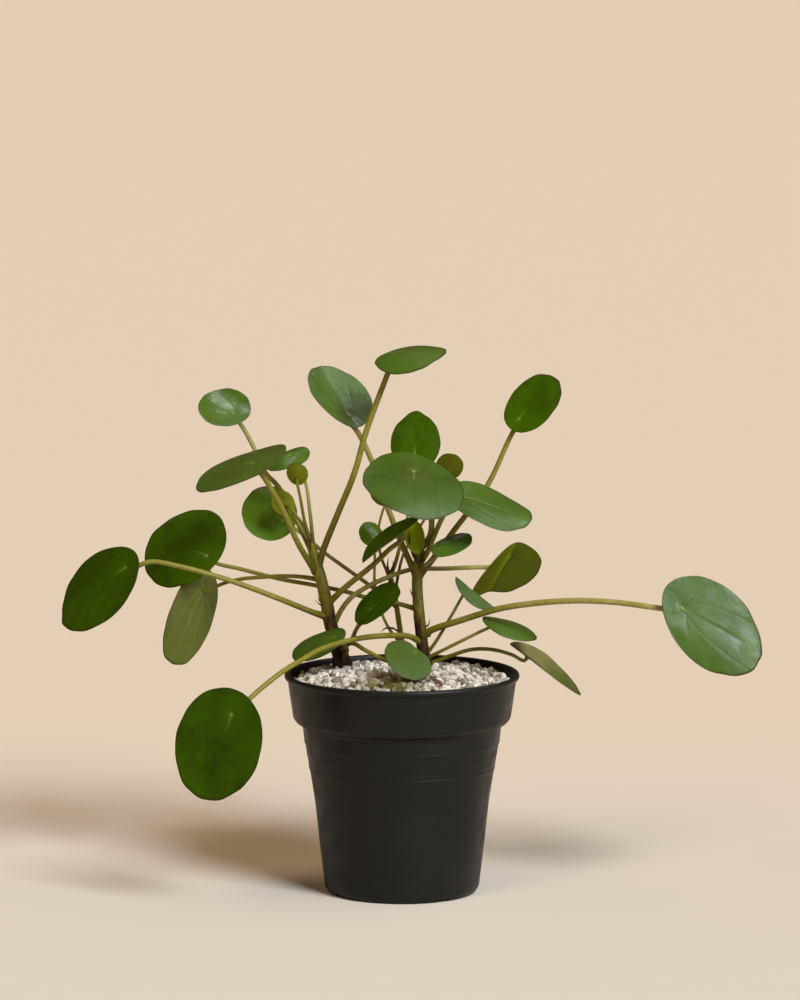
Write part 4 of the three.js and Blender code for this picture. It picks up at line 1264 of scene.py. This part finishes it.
@dataclass
class Pot:
    """The nursery pot: a turned thin wall with a stepped shoulder, faint rings, holes and notches.

    outside and inside are the wall's corners, as radius and height.
    """

    floor_top: float = 4.1
    raised_floor: float = 2.2
    pad_radius: float = 14.0
    foot_inner: float = 32.4
    foot_slope: float = 1.2
    hole_radius: float = 4.0
    hole_ring: float = 23.0
    holes: int = 8
    notches: int = 4
    notch_turn: float = 0.37
    notch_ring: float = 36.5
    notch_size: Triple = (12.0, 7.0, 2.4)
    steps: int = 120
    corner: float = 0.5
    crease: float = 38.0
    ring_heights: Sequence[float] = (77.2, 71.2, 66.4, 62.4)
    ring_lift: float = 0.12
    ring_width: float = 0.75
    ring_step: float = 0.5
    outside: Sequence[tuple[float, float]] = (
        (37.7, 0), (39.4, 3), (42.1, 25.8), (44.3, 46.4), (46.9, 63), (47.5, 63.8), (47.3, 65), (49.2, 76),
        (49.6, 77), (49.75, 78.2), (50.5, 85), (51.3, 86.2), (53.9, 87.7), (55.4, 89.8), (57.9, 107),
        (58.2, 109), (59.5, 109.7), (59.9, 111), (59.2, 112.3), (58.2, 112.5), (57.3, 111.9),
    )
    inside: Sequence[tuple[float, float]] = (
        (57, 110.6), (56.7, 107), (54.3, 91), (53, 89), (50.2, 87.3), (49.2, 85), (47.9, 76), (46, 65),
        (43.1, 46.4), (40.9, 25.8), (38.6, 6.5), (36.6, 4.1),
    )

    def rounded(self, points: Sequence[tuple[float, float]]) -> list[Vector]:
        """A line of points with each corner rounded.

        Args:
            points: the corners, as radius and height.

        Returns:
            The rounded line's points in the XZ plane.
        """
        corners = [Vector((radius, 0, height)) for radius, height in points]
        line = [corners[0]]
        for before, corner, after in zip(corners, corners[1:], corners[2:]):
            starts, ends = before - corner, after - corner
            first = corner + starts.normalized() * min(self.corner, 0.4 * starts.length)
            last = corner + ends.normalized() * min(self.corner, 0.4 * ends.length)
            line += [first, (first + last + 2 * corner) / 4, last]
        return [*line, corners[-1]]

    def with_rings(self, line: Sequence[Vector]) -> list[Vector]:
        """The wall's line with close points over its faint moulded rings, which lift them.

        Args:
            line: the outer wall's points from the foot up.

        Returns:
            The points with the rings.
        """
        low, high = min(self.ring_heights) - 2, max(self.ring_heights) + 2
        points = []
        for start, end in pairwise(line):
            ringed = start.z < high and end.z > low
            count = max(1, round((end.z - start.z) / self.ring_step)) if ringed else 1
            points += [start.lerp(end, step / count) for step in range(count)]
        points.append(line[-1])
        for point in points:
            lifts = [bell(point.z - ring, self.ring_width) for ring in self.ring_heights]
            point.x += self.ring_lift * sum(lifts)
        return points

    def shell(self) -> Shape:
        """The pot's turned wall and floor, before its holes are cut.

        Returns:
            The shell in metres.
        """
        underside = [
            (0, 0), (self.pad_radius, 0), (self.pad_radius + self.foot_slope, self.raised_floor),
            (self.foot_inner - self.foot_slope, self.raised_floor), (self.foot_inner, 0),
        ]
        line = self.rounded([*underside, *self.outside, *self.inside, (0, self.floor_top)])
        top = max(range(len(line)), key=lambda number: line[number].z)
        foot = max(number for number in range(top) if line[number].z < 0.01)
        line = [*line[:foot], *self.with_rings(line[foot:top]), *line[top:]]
        shape = bmesh.new()
        corners = [shape.verts.new(point * MM) for point in line]
        edges = [shape.edges.new(pair) for pair in pairwise(corners)]
        bmesh.ops.spin(
            shape, geom=[*corners, *edges], cent=(0, 0, 0), axis=(0, 0, 1), dvec=(0, 0, 0),
            angle=math.tau, steps=self.steps, use_merge=True, use_duplicate=False,
        )
        bmesh.ops.remove_doubles(shape, verts=shape.verts, dist=1e-6)
        bmesh.ops.recalc_face_normals(shape, faces=shape.faces)
        return shape

    def cutters(self) -> Shape:
        """The bodies that cut the drain holes and the foot's notches.

        Returns:
            The cutters in metres.
        """
        shape = bmesh.new()
        radius = self.hole_radius * MM
        for turn in range(self.holes):
            stand = Matrix.Rotation(math.tau * turn / self.holes, 4, "Z")
            stand = stand @ Matrix.Translation((self.hole_ring * MM, 0, self.floor_top * MM))
            bmesh.ops.create_cone(
                shape, cap_ends=True, segments=40, radius1=radius, radius2=radius, depth=8 * MM, matrix=stand
            )
        for turn in range(self.notches):
            stand = Matrix.Rotation(math.tau * (turn + self.notch_turn) / self.notches, 4, "Z")
            stand = stand @ Matrix.Translation((self.notch_ring * MM, 0, 0))
            stand = stand @ Matrix.Diagonal((*[side * MM for side in self.notch_size], 1))
            bmesh.ops.create_cube(shape, size=1, matrix=stand)
        return shape

    def build(self, material: Material) -> None:
        """Makes the pot's piece in its node's place, with its holes and notches cut.

        Args:
            material: the plastic's finish.
        """
        shell = add_object("pot_shell", mesh_of(self.shell(), "pot_shell"))
        cutters = add_object("pot_cutters", mesh_of(self.cutters(), "pot_cutters"))
        cut = shell.modifiers.new("cut", "BOOLEAN")
        cut.operation = "DIFFERENCE"
        cut.solver = "EXACT"
        cut.object = cutters
        shape = bmesh.new()
        shape.from_object(shell, bpy.context.evaluated_depsgraph_get())
        for piece in (shell, cutters):
            mesh = piece.data
            bpy.data.objects.remove(piece)
            bpy.data.meshes.remove(mesh)
        for face in shape.faces:
            face.smooth = True
        for edge in shape.edges:
            edge.smooth = not edge.is_manifold or edge.calc_face_angle(0) < math.radians(self.crease)
        hand_over(shape, "nursery_pot", "pot_plastic", material, "pot")


def plastic_material() -> Material:
    """Near-black moulded plastic with a satin skin, faint dust and fine scuffs.

    Returns:
        The material.
    """
    nodes = Nodes("pot_plastic")
    place = nodes.place()
    height = nodes.add("SeparateXYZ", {0: place}, "Z")
    cloud = nodes.spread(nodes.grain(place, 38, 4, 0.6), 0.45, 0.8)
    dust = nodes.times(cloud, nodes.spread(height, 0.11, 0.0, 0.1, 0.3))
    colour = nodes.blend(dust, Hue.PLASTIC_BLACK, Hue.PLASTIC_DUST)
    rough = nodes.spread(nodes.grain(place, 120, 3), 0.3, 0.7, 0.36, 0.5)
    stretch = nodes.add("Mapping", {"Vector": place, "Scale": (1.0, 1.0, 14.0)})
    turned = nodes.relief(nodes.grain(stretch, 90, 3, 0.6), 0.00005, 0.4)
    skin = nodes.relief(nodes.grain(place, 2600, 2), 0.00003, 0.4, turned)
    return nodes.finish(base_color=colour, roughness=rough, normal=skin, specular_ior_level=0.18)


def soil_material() -> Material:
    """Dark potting soil with pale fibres.

    Returns:
        The material.
    """
    nodes = Nodes("potting_soil")
    crumbs = nodes.grain(nodes.place(), 500, 5, 0.7)
    colour = nodes.blend(nodes.spread(crumbs, 0.5, 0.75), Hue.SOIL_BROWN, Hue.SOIL_FLECK)
    return nodes.finish(base_color=colour, roughness=0.95, normal=nodes.relief(crumbs, 0.002, 1.0))


@dataclass(frozen=True)
class Sun:
    """A far soft light.

    towards is the way from the plant to it, spread how wide it looks from there in degrees, and colour
    its colour in linear light. diffuse is whether it lights matte surfaces, and glossy whether it
    shows in reflections.
    """

    name: str
    towards: Triple
    strength: float
    spread: float
    colour: Triple
    diffuse: bool = True
    glossy: bool = True

    def build(self) -> None:
        """Adds the light to the scene."""
        data = bpy.data.lights.new(self.name, "SUN")
        data.energy = self.strength
        data.angle = math.radians(self.spread)
        data.color = self.colour
        light = add_object(self.name, data)
        light.rotation_euler = (-Vector(self.towards)).to_track_quat("-Z", "Y").to_euler()
        light.visible_diffuse = self.diffuse
        light.visible_glossy = self.glossy


@dataclass
class Studio:
    """The pale floor, the soft lights and the camera, with its sizes and places in metres."""

    floor_radius: float = 40.0
    sky_strength: float = 0.17
    camera_place: Triple = (-0.001, -3.0, 0.608)
    camera_pitch: float = 82.27
    sensor: float = 36.0
    focal_pixels: float = 5981.0
    frame_pixels: float = 1000.0
    far: float = 200.0
    suns: Sequence[Sun] = (
        Sun("key_right", (0.58, -0.82, 0.78), 3.38, 24, (0.95, 0.99, 1.0)),
        Sun("fill_left", (-0.5, -0.75, 0.95), 0.7, 24, (1.0, 0.72, 0.46), glossy=False),
        Sun("top_soft", (0.4, 0.1, 1.0), 0.42, 34, (1.0, 0.74, 0.5), glossy=False),
        Sun("sheen_right", (0.79, 0.25, 0.56), 0.27, 9, (0.86, 0.95, 1.0), diffuse=False),
        Sun("sheen_side", (0.58, 0.22, 0.785), 0.26, 8, (0.86, 0.95, 1.0), diffuse=False),
        Sun("sheen_back", (0.31, 0.15, 0.94), 0.27, 8, (0.86, 0.95, 1.0), diffuse=False),
        Sun("sheen_above", (-0.17, -0.08, 0.98), 0.32, 8, (0.92, 0.97, 1.0), diffuse=False),
        Sun("sheen_left", (-0.22, 0.5, 0.84), 0.09, 10, (0.92, 0.97, 1.0), diffuse=False),
        Sun("sheen_low", (0.62, -0.75, 0.12), 1.3, 34, (0.75, 0.87, 1.0), diffuse=False),
    )

    def add_floor(self) -> None:
        """A wide pale floor."""
        shape = bmesh.new()
        bmesh.ops.create_circle(shape, cap_ends=True, segments=96, radius=self.floor_radius)
        nodes = Nodes("studio_floor")
        away = nodes.add("SeparateXYZ", {0: nodes.place()}, "Y")
        colour = nodes.blend(nodes.spread(away, -0.2, 0.6), Hue.FLOOR_NEAR, Hue.FLOOR_FAR)
        floor = add_object("floor", mesh_of(shape, "floor"))
        floor.data.materials.append(nodes.finish(base_color=colour, roughness=0.9, specular_ior_level=0.1))

    def add_camera(self) -> None:
        """The camera where the photograph was taken from."""
        data = bpy.data.cameras.new("camera")
        data.sensor_width = self.sensor
        data.lens = self.focal_pixels / self.frame_pixels * self.sensor
        data.clip_end = self.far
        camera = add_object("camera", data)
        camera.location = self.camera_place
        camera.rotation_euler = (math.radians(self.camera_pitch), 0, 0)
        bpy.context.scene.camera = camera

    def build(self) -> None:
        """Sets the whole studio up."""
        self.add_floor()
        for sun in self.suns:
            sun.build()
        self.add_camera()
        world = bpy.data.worlds.new("studio")
        world.use_nodes = True
        background = world.node_tree.nodes["Background"]
        background.inputs["Color"].default_value = Hue.SKY_BEIGE.rgba()
        background.inputs["Strength"].default_value = self.sky_strength
        bpy.context.scene.world = world
        bpy.context.scene.view_settings.view_transform = "Standard"


def main() -> None:
    """Builds the studio and every piece, each of which logs how many faces it has."""
    logging.basicConfig(level=logging.INFO, format="%(message)s")
    Studio().build()
    Pot().build(plastic_material())
    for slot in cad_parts["soil"].material_slots:
        slot.material = soil_material()
    Dressing().build(pumice_material())
    skin = stem_material()
    for stem in Stem:
        Plant(stem).build(skin)
    blades = {kind: blade_material(kind.value) for kind in BladeKind}
    for number, leaf in enumerate(LEAVES):
        Blade(leaf, number).build(blades)


if __name__ == "__main__":
    main()
